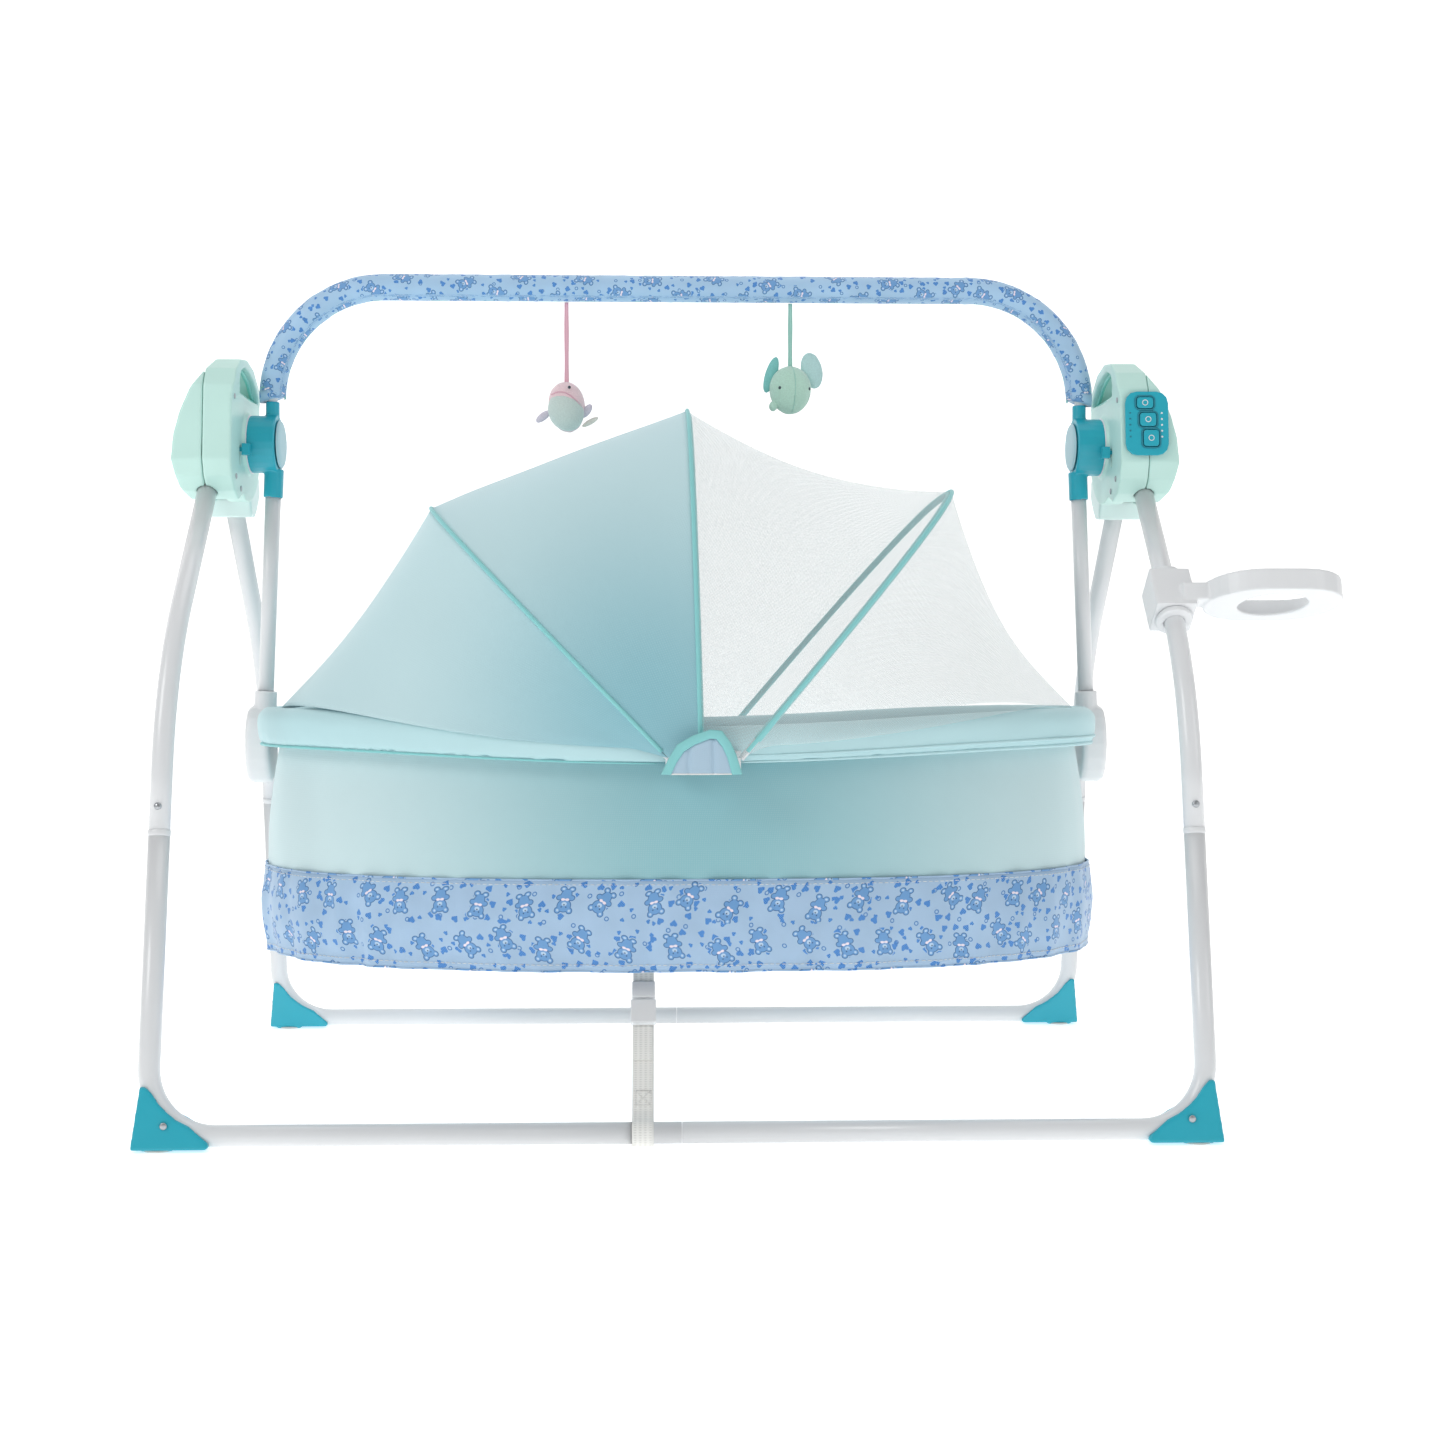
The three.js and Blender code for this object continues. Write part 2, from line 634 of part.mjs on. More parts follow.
// A point on the rim at turn 0 (front middle) to pi (rear middle) by way of the left end (side -1) or the
// right one (+1), at the given angle and distance round the padded roll.
function rimPoint(side, turn, around, distance) {
  const c = Math.cos(turn);
  const s = Math.sin(turn);
  const x = side * RIM.a * rounded(s);
  const y = -RIM.b * rounded(c);
  const out = new THREE.Vector2(
    side * (Math.abs(x) / RIM.a) ** (RIM.power - 1) / RIM.a,
    (Math.sign(y) * (Math.abs(y) / RIM.b) ** (RIM.power - 1)) / RIM.b,
  ).normalize();
  const reach = distance * Math.cos(around);
  const z = RIM.z - sink(x, RIM.z) + distance * Math.sin(around);
  return new THREE.Vector3(x + out.x * reach, y + out.y * reach, z);
}

function rimEdge(side, share, footTurn) {
  const turn = footTurn + (Math.PI - 2 * footTurn) * share;
  const end = Math.sin(turn) ** 2;
  const around = THREE.MathUtils.degToRad(-25 + 160 * end);
  return rimPoint(side, turn, around, RIM.rollR + 4.5);
}

// One panel between two edges, each a function of the share of the way from front foot to rear foot.
function makePanel(edgeA, edgeB, sag) {
  const rows = 18;
  const columns = 4;
  const middle = new THREE.Vector3(20, 0, RIB_FOOT_Z);
  const outer = [];
  const inner = [];
  for (let i = 0; i <= rows; i++) {
    const share = 0.5 - 0.5 * Math.cos(Math.PI * (0.03 + (0.94 * i) / rows));
    const a = edgeA(share);
    const b = edgeB(share);
    for (let j = 0; j <= columns; j++) {
      const u = j / columns;
      const point = a.clone().lerp(b, u);
      const inward = middle.clone().setX(THREE.MathUtils.lerp(point.x, middle.x, 0.6)).sub(point).normalize();
      const swell = 4 * u * (1 - u) * sag * Math.sin(Math.PI * share);
      point.addScaledVector(inward, swell);
      outer.push(point);
      inner.push(point.clone().addScaledVector(inward, FABRIC));
    }
  }
  const wide = columns + 1;
  const layer = outer.length;
  const corners = [...outer, ...inner];
  const index = [];
  const quad = (p, q, r, s) => index.push(p, q, r, p, r, s);
  for (let i = 0; i < rows; i++) {
    for (let j = 0; j < columns; j++) {
      const k = i * wide + j;
      quad(k, k + 1, k + wide + 1, k + wide);
      quad(layer + k, layer + k + wide, layer + k + wide + 1, layer + k + 1);
    }
    const first = i * wide;
    const last = first + columns;
    quad(first, first + wide, layer + first + wide, layer + first);
    quad(last, layer + last, layer + last + wide, last + wide);
  }
  for (let j = 0; j < columns; j++) {
    const last = rows * wide + j;
    quad(j, layer + j, layer + j + 1, j + 1);
    quad(last, last + 1, layer + last + 1, layer + last);
  }
  const geometry = new THREE.BufferGeometry().setFromPoints(corners);
  geometry.setIndex(index);
  return solid(geometry);
}

const SEAM_HALF = 0.8; // each panel stops this far from its rib's plane
function hoopEdge(rib, across) {
  return (share) => hoopPoint(rib, Math.PI * share, FABRIC_OUT, across);
}

function makeCanopy() {
  const ribBodies = RIBS.map(() => group(swing));
  RIBS.forEach((rib, i) => place(ribBodies[i], `canopy_rib_${i + 1}`, makeRib(rib), WHITE_STEEL));
  const [head, middle, foot] = RIBS;
  const leftRim = (share) => rimEdge(-1, share, 0.06);
  const rightRim = (share) => rimEdge(1, share, 0.12);
  const s = SEAM_HALF;
  place(ribBodies[0], "canopy_head_panel", makePanel(leftRim, hoopEdge(head, -s), 9), AQUA_FABRIC);
  place(ribBodies[1], "canopy_top_panel", makePanel(hoopEdge(head, s), hoopEdge(middle, -s), 0), AQUA_FABRIC);
  place(ribBodies[2], "canopy_net_panel", makePanel(hoopEdge(middle, s), hoopEdge(foot, -s), 22), NET_FABRIC);
  place(ribBodies[2], "canopy_foot_net", makePanel(hoopEdge(foot, s), rightRim, 20), NET_FABRIC);
}

// A plate that hooks round the hem of the rim cover and carries the pin of the hoops.
const PLATE = { from: -15, to: 56, face: 268.6 };
function makeBracket() {
  const under = RIM.z - RIM.dip - RIM.tubeR - 1.4;
  const hook = polygon([
    [-PLATE.face, 341], [-256, 341], [-256, under], [-259, under],
    [-259, 345], [-265.4, 345], [-265.4, 362], [-PLATE.face, 362],
  ]);
  const pin = rod([RIB_PIN.x, -PLATE.face + 1, RIB_PIN.z], [RIB_PIN.x, -294, RIB_PIN.z], PIN_R, 10);
  return join(alongX(hook, PLATE.from, PLATE.to), pin);
}

// A flat sewn pocket outside the links, open at its top and bottom.
function makePocket() {
  const face = polygon([
    [-20, 341], [58, 341], [52, 359], [46, 372], [37, 383],
    [26, 384], [8, 378], [-6, 371], [-15, 357],
  ]);
  return alongY(face, -302.5, -301);
}

// ---- Toy bar ------------------------------------------------------------------------------------
function barLine(foot) {
  const corners = [
    [SOCKET_X, 0, foot], [SOCKET_X, 0, BAR.top], [-SOCKET_X, 0, BAR.top], [-SOCKET_X, 0, foot],
  ];
  return new BentLine(corners, [BAR.bend, BAR.bend], 6);
}

function ellipsoid(x, y, z, rx, ry, rz) {
  const geometry = new THREE.SphereGeometry(1, 12, 8);
  geometry.rotateX(Math.PI / 2);
  return solid(geometry.scale(rx, ry, rz).translate(x, y, z));
}

function makeToyBar() {
  const bar = group(swing);
  place(bar, "toy_bar", tube(barLine(BAR.foot), BAR.r, 0, 10), WHITE_STEEL);
  place(bar, "toy_bar_cover", tube(barLine(BAR.sleeveFoot), BAR.sleeveR, BAR.r + 0.8, 12), PRINT_FABRIC);
  const ribbon = (x, z) => box(x - 2.5, x + 2.5, -0.7, 0.7, z, TOY_PIVOT);
  const whale = join(ellipsoid(-TOY_X, 0, 722, 21, 14, 29), ribbon(-TOY_X, 740));
  const ears = join(ellipsoid(TOY_X - 17, 0, 755, 13, 5, 16), ellipsoid(TOY_X + 17, 0, 755, 13, 5, 16));
  const elephant = join(ellipsoid(TOY_X, 0, 741, 24, 16, 26), ears, ribbon(TOY_X, 758));
  place(group(bar), "whale_toy", whale, PINK_PLUSH);
  place(group(bar), "elephant_toy", elephant, MINT_PLUSH);
}

// ---- Tray ---------------------------------------------------------------------------------------
// The clamp sits round the right front leg; the tray's collar turns on it between two flanges.
const CLAMP = { y: -163.5, z: 508.6, half: 31, sleeveR: 14.4, flangeR: 18.5, flange: 6 };

function legDirection() {
  return new THREE.Vector3(0, LEG_CORNER.y - LEG_TOP.y, LEG_TOP.z - LEG_CORNER.z).normalize();
}

function onLeg(distance) {
  const point = new THREE.Vector3(LEG_X, CLAMP.y, CLAMP.z).addScaledVector(legDirection(), distance);
  return [point.x, point.y, point.z];
}

function makeTrayClamp() {
  const inner = CLAMP.half - CLAMP.flange;
  return cut(
    join(
      rod(onLeg(-CLAMP.half), onLeg(CLAMP.half), CLAMP.sleeveR, 16),
      rod(onLeg(-CLAMP.half), onLeg(-inner), CLAMP.flangeR, 16),
      rod(onLeg(inner), onLeg(CLAMP.half), CLAMP.flangeR, 16),
    ),
    tube(upperLegLine(LEG_TOP), TUBE_R + GAP),
  );
}

function makeTray() {
  const reach = CLAMP.half - CLAMP.flange - GAP;
  const collar = new THREE.BoxGeometry(41, 2 * reach, 40);
  const turn = new THREE.Quaternion().setFromUnitVectors(Y, legDirection());
  collar.applyQuaternion(turn).translate(...onLeg(0));
  const outline = (grow) => {
    const halfX = TRAY.halfX - grow;
    const halfY = TRAY.halfY - grow;
    const shape = roundedBox(2 * halfX, 2 * halfY, halfY - 1, 0, 0, 8);
    return shape;
  };
  const low = -TRAY.wall / 2;
  const shell = cut(alongZ(outline(0), low, -low), alongZ(outline(3), 3 + low, 40));
  const hole = rod([0, 0, -30], [0, 0, 30], 34, 28);
  const arm = box(-92, -60, -14, 14, -9, 9);
  const tilted = geometryOf(join(cut(shell, hole), cut(arm, alongZ(outline(2), -40, 40))));
  tilted.rotateX(THREE.MathUtils.degToRad(TRAY.tilt)).translate(TRAY.x, TRAY.y, TRAY.z);
  return cut(join(solid(tilted), solid(collar)), rod(onLeg(-60), onLeg(60), CLAMP.sleeveR + GAP + 0.3, 16));
}

// ---- Lock strap ---------------------------------------------------------------------------------
// Drawn along +Y from the floor tube's centre and then turned up towards the basket.
function strapPlace(body) {
  const geometry = geometryOf(body);
  geometry.rotateX(THREE.MathUtils.degToRad(STRAP.angle));
  return solid(geometry.translate(STRAP.x, -FLOOR_Y, FLOOR_Z));
}

function strapBlock(width, thick, from, to) {
  return box(-width / 2, width / 2, from, to, -thick / 2, thick / 2);
}

function makeStrap() {
  const loopR = TUBE_R + GAP;
  const loop = cut(rod([-10, 0, 0], [10, 0, 0], loopR + 2, 20), rod([-20, 0, 0], [20, 0, 0], loopR, 20));
  return strapPlace(join(loop, strapBlock(2 * STRAP.half, STRAP.thick, loopR + 1, 107)));
}

function makeBuckleSocket() {
  return strapPlace(cut(strapBlock(24, 9, 107.6, 131), strapBlock(15, 4.8, 113, 140)));
}

function makeBucklePlug() {
  return strapPlace(join(
    strapBlock(22, 8, 133.4, 150),
    strapBlock(20, 2, 149, 163),
  ));
}

// ---- Assembly -----------------------------------------------------------------------------------
makeCorner(stand, "front", LEG_TOP);
makeCorner(rearStand, "rear", REAR_LEG_TOP);
placePair(rearStand, "rear_knuckle", makeKnuckle(), PALE_MINT);
makeHousings();
place(stand, "drive_board", makeDriveBoard(), BOARD);
for (const [name, side] of [["right", 1], ["left", -1]]) {
  place(group(stand), `fold_latch_${name}`, makeLatch(), TEAL_PLASTIC).scale.x = side;
}

placePair(swing, "hub", makeHub(), TEAL_PLASTIC);
placePair(swing, "hub_cap", makeHubCap(), CAP_PLASTIC);
place(swing, "axle_right", makeDrivenAxle(), STEEL);
place(swing, "axle_left", makeAxle(), STEEL).scale.x = -1;
placePair(swing, "swing_arm", makeArm(), WHITE_STEEL);
placePair(swing, "rim_hub", makeRimHub(), WHITE_PLASTIC);
place(swing, "rim_tube", makeRimTube(), STEEL);
place(swing, "rim_cover", makeRimCover(), AQUA_FABRIC);
place(swing, "basket", makeBasket(), AQUA_FABRIC);
place(swing, "basket_skirt", makeSkirt(), PRINT_FABRIC);
place(swing, "mattress", makeMattress(), AQUA_FABRIC);
for (const [name, side] of [["front", 1], ["rear", -1]]) {
  place(swing, `canopy_bracket_${name}`, makeBracket(), WHITE_PLASTIC).scale.y = side;
  place(swing, `pocket_${name}`, makePocket(), PRINT_FABRIC).scale.y = side;
}
makeCanopy();
makeToyBar();

place(stand, "tray_clamp", makeTrayClamp(), WHITE_PLASTIC);
place(group(stand), "tray", makeTray(), WHITE_PLASTIC);
const lockStrap = group(stand);
place(lockStrap, "lock_strap", makeStrap(), WEBBING);
place(lockStrap, "buckle_socket", makeBuckleSocket(), WHITE_PLASTIC);
place(swing, "buckle_plug", makeBucklePlug(), WHITE_PLASTIC);

export default swingSet;
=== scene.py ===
"""Electric baby swing: smooth tubes, moulded shells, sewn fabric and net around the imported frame.

Lengths are written in millimetres, measured from the cradle's centre line, and become metres in mm_mesh().
"""
import json
import math

import bmesh
import bpy
from mathutils import Matrix, Vector, noise


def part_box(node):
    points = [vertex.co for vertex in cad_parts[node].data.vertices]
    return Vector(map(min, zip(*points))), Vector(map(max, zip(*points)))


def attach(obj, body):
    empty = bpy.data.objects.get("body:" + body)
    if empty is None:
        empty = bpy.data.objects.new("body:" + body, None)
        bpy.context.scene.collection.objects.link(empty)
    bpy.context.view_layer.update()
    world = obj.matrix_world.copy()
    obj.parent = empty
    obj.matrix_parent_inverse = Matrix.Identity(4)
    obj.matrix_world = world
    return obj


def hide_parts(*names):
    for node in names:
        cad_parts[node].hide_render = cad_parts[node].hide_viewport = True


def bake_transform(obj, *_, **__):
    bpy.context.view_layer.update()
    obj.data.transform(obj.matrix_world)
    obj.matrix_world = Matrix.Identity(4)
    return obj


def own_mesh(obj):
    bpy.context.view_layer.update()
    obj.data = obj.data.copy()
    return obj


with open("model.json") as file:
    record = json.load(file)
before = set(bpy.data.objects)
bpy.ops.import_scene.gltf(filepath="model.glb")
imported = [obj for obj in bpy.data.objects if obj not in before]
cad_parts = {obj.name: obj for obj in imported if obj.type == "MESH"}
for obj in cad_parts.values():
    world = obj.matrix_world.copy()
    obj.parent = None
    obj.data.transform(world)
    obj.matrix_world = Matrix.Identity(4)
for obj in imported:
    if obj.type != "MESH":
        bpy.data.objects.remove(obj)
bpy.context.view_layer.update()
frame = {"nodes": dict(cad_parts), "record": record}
MM = 0.001
CENTRE_X = sum(corner[0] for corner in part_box("rim_tube")) / 2 / MM
BODIES = frame["record"]["behaviour"]["bodies"]
BODY_OF = {node: body for body, nodes in BODIES.items() for node in nodes}

# ---- Dimensions shared with the frame -----------------------------------------------------------
AXIS_Z = 680
LEG_X = 488.6
TUBE_R = 10
FLOOR_Y = 310
FLOOR_Z = 12
SEAM_Y, SEAM_Z = 258, 285
LEG_CORNER_Y, LEG_CORNER_Z = 229.3, 435.5
LEG_BEND, FLOOR_BEND = 330, 62
LEG_TOPS = {"front": (31.7, 656.3), "rear": (51, 634.7)}
ARM_TOP, ARM_LOW = (432, 648), (442.5, 395)
SOCKET_X = 433
BAR_R, BAR_FOOT, BAR_TOP, BAR_BEND, SLEEVE_R, SLEEVE_FOOT = 5, 694, 848, 120, 14, 736
RIM_A, RIM_B, RIM_Z, RIM_DIP, RIM_POWER, ROLL_R = 429, 250, 387, 16, 2.5, 15
RIB_POWER, RIB_FOOT_Z, RIB_R = 2.4, 355, 3
RIBS = {
    "head_rib": dict(half=272, foot_x=-12, apex=(-257, 606)),
    "top_rib": dict(half=283, foot_x=18, apex=(8.5, 708)),
    "foot_rib": dict(half=289, foot_x=55, apex=(284, 625)),
}
PANEL_AT, PANEL_TILT = (485, -84.6, 694.5), math.radians(-5.2)
STRAP_X, STRAP_ANGLE = -36, math.radians(56.9)
TOY_X, TOY_PIVOT = 120, 833
HOUSING_FACE = 459
HEM_Z = RIM_Z - 25
CLOTH_OUT = RIB_R + 1.6
PANEL_SPAN = (0.012, 0.988)
SIDES = (("left", -1), ("right", 1))
ROUND = 6.283  # a whole turn in the waves and noise that go round the oval
WAVE_TURN = 6.28  # a wave texture repeats once in this many units over its scale


# ---- Material graphs ----------------------------------------------------------------------------
class Graph:
    """A node material with short names for the nodes it uses."""

    def __init__(self, name, roughness=0.5, **settings):
        self.material = bpy.data.materials.new(name)
        self.material.use_nodes = True
        self.tree = self.material.node_tree
        self.shader = self.tree.nodes["Principled BSDF"]
        self.shader.inputs["Roughness"].default_value = roughness
        for key, value in settings.items():
            self.shader.inputs[key.replace("_", " ")].default_value = value
        self.places = self.tree.nodes.new("ShaderNodeTexCoord").outputs["Object"]
        self.uv = self.tree.nodes.new("ShaderNodeTexCoord").outputs["UV"]

    def node(self, kind, inputs, **attributes):
        made = self.tree.nodes.new("ShaderNode" + kind)
        for key, value in attributes.items():
            setattr(made, key, value)
        for key, value in inputs.items():
            if isinstance(value, bpy.types.NodeSocket):
                self.tree.links.new(value, made.inputs[key])
            else:
                made.inputs[key].default_value = value
        return made

    def math(self, operation, *values):
        return self.node("Math", dict(enumerate(values)), operation=operation).outputs[0]

    def noise(self, scale, detail=2.0, at=None):
        at = at or self.places
        return self.node("TexNoise", {"Vector": at, "Scale": scale, "Detail": detail}).outputs["Fac"]

    def wave(self, scale, axis="X", at=None, distortion=0.0):
        inputs = {"Vector": at or self.places, "Scale": scale, "Distortion": distortion}
        return self.node("TexWave", inputs, bands_direction=axis).outputs["Fac"]

    def mix(self, share, first, second):
        made = self.node("Mix", {0: share, 6: first, 7: second}, data_type="RGBA")
        return made.outputs[2]

    def colour(self, socket):
        self.tree.links.new(socket, self.shader.inputs["Base Color"])

    def rough(self, share, low, high):
        ranged = self.node("MapRange", {"Value": share, "To Min": low, "To Max": high}).outputs[0]
        self.tree.links.new(ranged, self.shader.inputs["Roughness"])

    def bump(self, *layers):
        """Each layer is (height socket, strength, depth in mm)."""
        normal = None
        for height, strength, depth in layers:
            inputs = {"Height": height, "Strength": strength, "Distance": depth * MM}
            if normal:
                inputs["Normal"] = normal
            normal = self.node("Bump", inputs).outputs[0]
        self.tree.links.new(normal, self.shader.inputs["Normal"])


def rgb(code, light=1.0):
    """A linear colour from a hex code."""
    parts = [int(code[i:i + 2], 16) / 255 for i in (1, 3, 5)]
    linear = [p / 12.92 if p <= 0.04045 else ((p + 0.055) / 1.055) ** 2.4 for p in parts]
    return (*[min(1.0, p * light) for p in linear], 1.0)


def moulded(name, code, roughness=0.38, grain=900):
    g = Graph(name, roughness, Coat_Weight=0.15, Coat_Roughness=0.25)
    cloud = g.noise(14, 3)
    g.colour(g.mix(cloud, rgb(code, 0.93), rgb(code, 1.05)))
    g.rough(g.noise(120, 4), roughness - 0.07, roughness + 0.1)
    g.bump((g.noise(grain, 3), 0.18, 0.25), (g.noise(25, 2), 0.08, 0.6))
    return g.material


def coated_steel(name, code):
    g = Graph(name, 0.3, Coat_Weight=0.4, Coat_Roughness=0.12)
    g.colour(g.mix(g.noise(9, 4), rgb(code, 0.94), rgb(code, 1.03)))
    g.rough(g.noise(60, 4), 0.24, 0.4)
    g.bump((g.noise(420, 3), 0.22, 0.2), (g.noise(40, 2), 0.06, 0.5))
    return g.material


def bare_steel(name, code, rough=0.3):
    g = Graph(name, rough, Metallic=1.0)
    stretched = g.node("Mapping", {"Vector": g.places, "Scale": (40, 900, 900)}).outputs[0]
    lines = g.noise(1.0, 5, stretched)
    g.colour(g.mix(lines, rgb(code, 0.8), rgb(code, 1.05)))
    g.rough(lines, rough - 0.1, rough + 0.15)
    g.bump((lines, 0.15, 0.1))
    return g.material


def weave(g, threads=900):
    """Height of a plain weave on a piece with a cloth layout, in threads to the metre."""
    across = g.wave(threads / WAVE_TURN, "X", g.uv)
    down = g.wave(threads / WAVE_TURN, "Y", g.uv)
    return g.math("MULTIPLY", across, down)


def cloth(name, code, dark=0.9, threads=900, wrinkle=0.25, painted_shade=None, centre=(0, 0), reach=(1, 1)):
    """Plain woven cloth; the optional second colour is painted shade that the cloth takes on round a centre
    in x and z, given in metres.
    """
    g = Graph(name, 0.8, Sheen_Weight=0.35, Sheen_Roughness=0.4)
    tone = g.mix(g.noise(6, 4), rgb(code, dark), rgb(code, 1.04))
    # painted shade: the tone turns to the darker second colour round a centre point, standing in for shade on
    # the cloth
    if painted_shade:
        split = g.node("SeparateXYZ", {0: g.places})
        dx = g.math("DIVIDE", g.math("SUBTRACT", split.outputs[0], CENTRE_X * MM + centre[0]), reach[0])
        dz = g.math("DIVIDE", g.math("SUBTRACT", split.outputs[2], centre[1]), reach[1])
        away = g.math("SQRT", g.math("ADD", g.math("MULTIPLY", dx, dx), g.math("MULTIPLY", dz, dz)))
        ends = {"Value": away, "From Min": 1.0, "From Max": 0.0}
        shade_mask = g.node("MapRange", ends, interpolation_type="SMOOTHSTEP")
        tone = g.mix(shade_mask.outputs[0], tone, rgb(painted_shade))
    thread = weave(g, threads)
    g.colour(g.mix(g.math("MULTIPLY", thread, 0.25), tone, rgb(code, 0.85)))
    g.bump((thread, 0.25, 0.2), (g.noise(16, 3), wrinkle, 3.0), (g.noise(60, 3), wrinkle * 0.7, 1.0))
    return g.material


def plush(name, code, pile=700):
    g = Graph(name, 0.95, Sheen_Weight=0.7, Sheen_Roughness=0.5)
    tuft = g.noise(pile, 4)
    g.colour(g.mix(tuft, rgb(code, 0.8), rgb(code, 1.08)))
    g.bump((tuft, 0.8, 0.8), (g.noise(pile / 5, 2), 0.35, 1.2))
    return g.material


def band(name, code, ribs=420):
    """Woven webbing or ribbon: ribs along its length and a twill across."""
    g = Graph(name, 0.75, Sheen_Weight=0.2)
    rib = g.wave(ribs / WAVE_TURN, "X", g.uv)
    pick = g.wave(ribs / 3.0, "Y", g.uv)
    g.colour(g.mix(g.math("MULTIPLY", rib, pick), rgb(code, 1.02), rgb(code, 0.8)))
    g.bump((rib, 0.5, 0.4), (pick, 0.3, 0.2))
    return g.material


def netting(name, code):
    """A fine hexagonal net with cells of 1.4 mm: threads show, holes let most of the light through."""
    g = Graph(name, 0.8, Sheen_Weight=0.15)
    scaled = g.node("VectorMath", {0: g.uv, 1: (1000 / 1.4,) * 3}, operation="MULTIPLY").outputs[0]
    layout = {"Vector": scaled, "Scale": 1.0, "Randomness": 0.2}
    cells = g.node("TexVoronoi", layout, feature="DISTANCE_TO_EDGE")
    thread = g.math("LESS_THAN", cells.outputs["Distance"], 0.14)
    alpha = g.node("MapRange", {"Value": thread, "To Min": 0.2, "To Max": 0.44}).outputs[0]
    g.colour(g.mix(g.noise(8, 2), rgb(code, 0.97), rgb(code, 1.02)))
    g.tree.links.new(alpha, g.shader.inputs["Alpha"])
    g.bump((thread, 0.08, 0.1))
    return g.material


class Motifs:
    """Shapes on a cloth layout, one in each cell of a staggered grid, each turned and shifted a little."""

    def __init__(self, graph, cell, jitter, tilt, seed):
        g = self.g = graph
        split = g.node("SeparateXYZ", {0: g.uv})
        row = g.math("DIVIDE", split.outputs[1], cell * MM)
        lane = g.math("FLOOR", row)
        stagger = g.math("MULTIPLY", g.math("MODULO", lane, 2.0), 0.5)
        column = g.math("ADD", g.math("DIVIDE", split.outputs[0], cell * MM), stagger)
        index = g.node("CombineXYZ", {0: g.math("FLOOR", column), 1: lane, 2: seed}).outputs[0]
        chance = g.node("TexWhiteNoise", {"Vector": index}).outputs["Color"]
        parts = g.node("SeparateXYZ", {0: chance})
        self.luck = parts.outputs[2]
        x = self.centred(column, parts.outputs[0], jitter)
        y = self.centred(row, parts.outputs[1], jitter)
        turn = g.math("MULTIPLY", g.math("SUBTRACT", parts.outputs[0], 0.5), tilt)
        c, s = g.math("COSINE", turn), g.math("SINE", turn)
        self.x = g.math("ADD", g.math("MULTIPLY", x, c), g.math("MULTIPLY", y, s))
        self.y = g.math("SUBTRACT", g.math("MULTIPLY", y, c), g.math("MULTIPLY", x, s))
        self.ax = g.math("ABSOLUTE", self.x)

    def centred(self, place, chance, jitter):
        g = self.g
        shift = g.math("MULTIPLY", g.math("SUBTRACT", chance, 0.5), jitter)
        return g.math("MULTIPLY", g.math("ADD", g.math("SUBTRACT", g.math("FRACT", place), 0.5), shift), 2.0)

    def disc(self, cx, cy, rx, ry=None, mirrored=True):
        """An ellipse, and its mirror image on the other side of the middle."""
        g = self.g
        dx = g.math("DIVIDE", g.math("SUBTRACT", self.ax if mirrored else self.x, cx), rx)
        dy = g.math("DIVIDE", g.math("SUBTRACT", self.y, cy), ry or rx)
        return g.math("LESS_THAN", g.math("ADD", g.math("MULTIPLY", dx, dx), g.math("MULTIPLY", dy, dy)), 1.0)

    def any(self, *shapes):
        made = shapes[0]
        for shape in shapes[1:]:
            made = self.g.math("MAXIMUM", made, shape)
        return made

    def heart(self, size):
        g = self.g
        lobes = self.disc(0.42 * size, 0.3 * size, 0.52 * size)
        slope = g.math("SUBTRACT", g.math("MULTIPLY", self.ax, 1.1), self.y)
        low = g.math("LESS_THAN", self.y, 0.2 * size)
        point = g.math("MULTIPLY", g.math("LESS_THAN", slope, 0.92 * size), low)
        return self.any(lobes, point)

    def bear(self, grow):
        head = self.disc(0, 0.3, 0.3 + grow, 0.27 + grow)
        ears = self.disc(0.27, 0.52, 0.12 + grow)
        trunk = self.disc(0, -0.16, 0.24 + grow, 0.28 + grow)
        arms = self.disc(0.28, -0.06, 0.13 + grow, 0.1 + grow)
        feet = self.disc(0.2, -0.46, 0.13 + grow, 0.1 + grow)
        return self.any(head, ears, trunk, arms, feet)


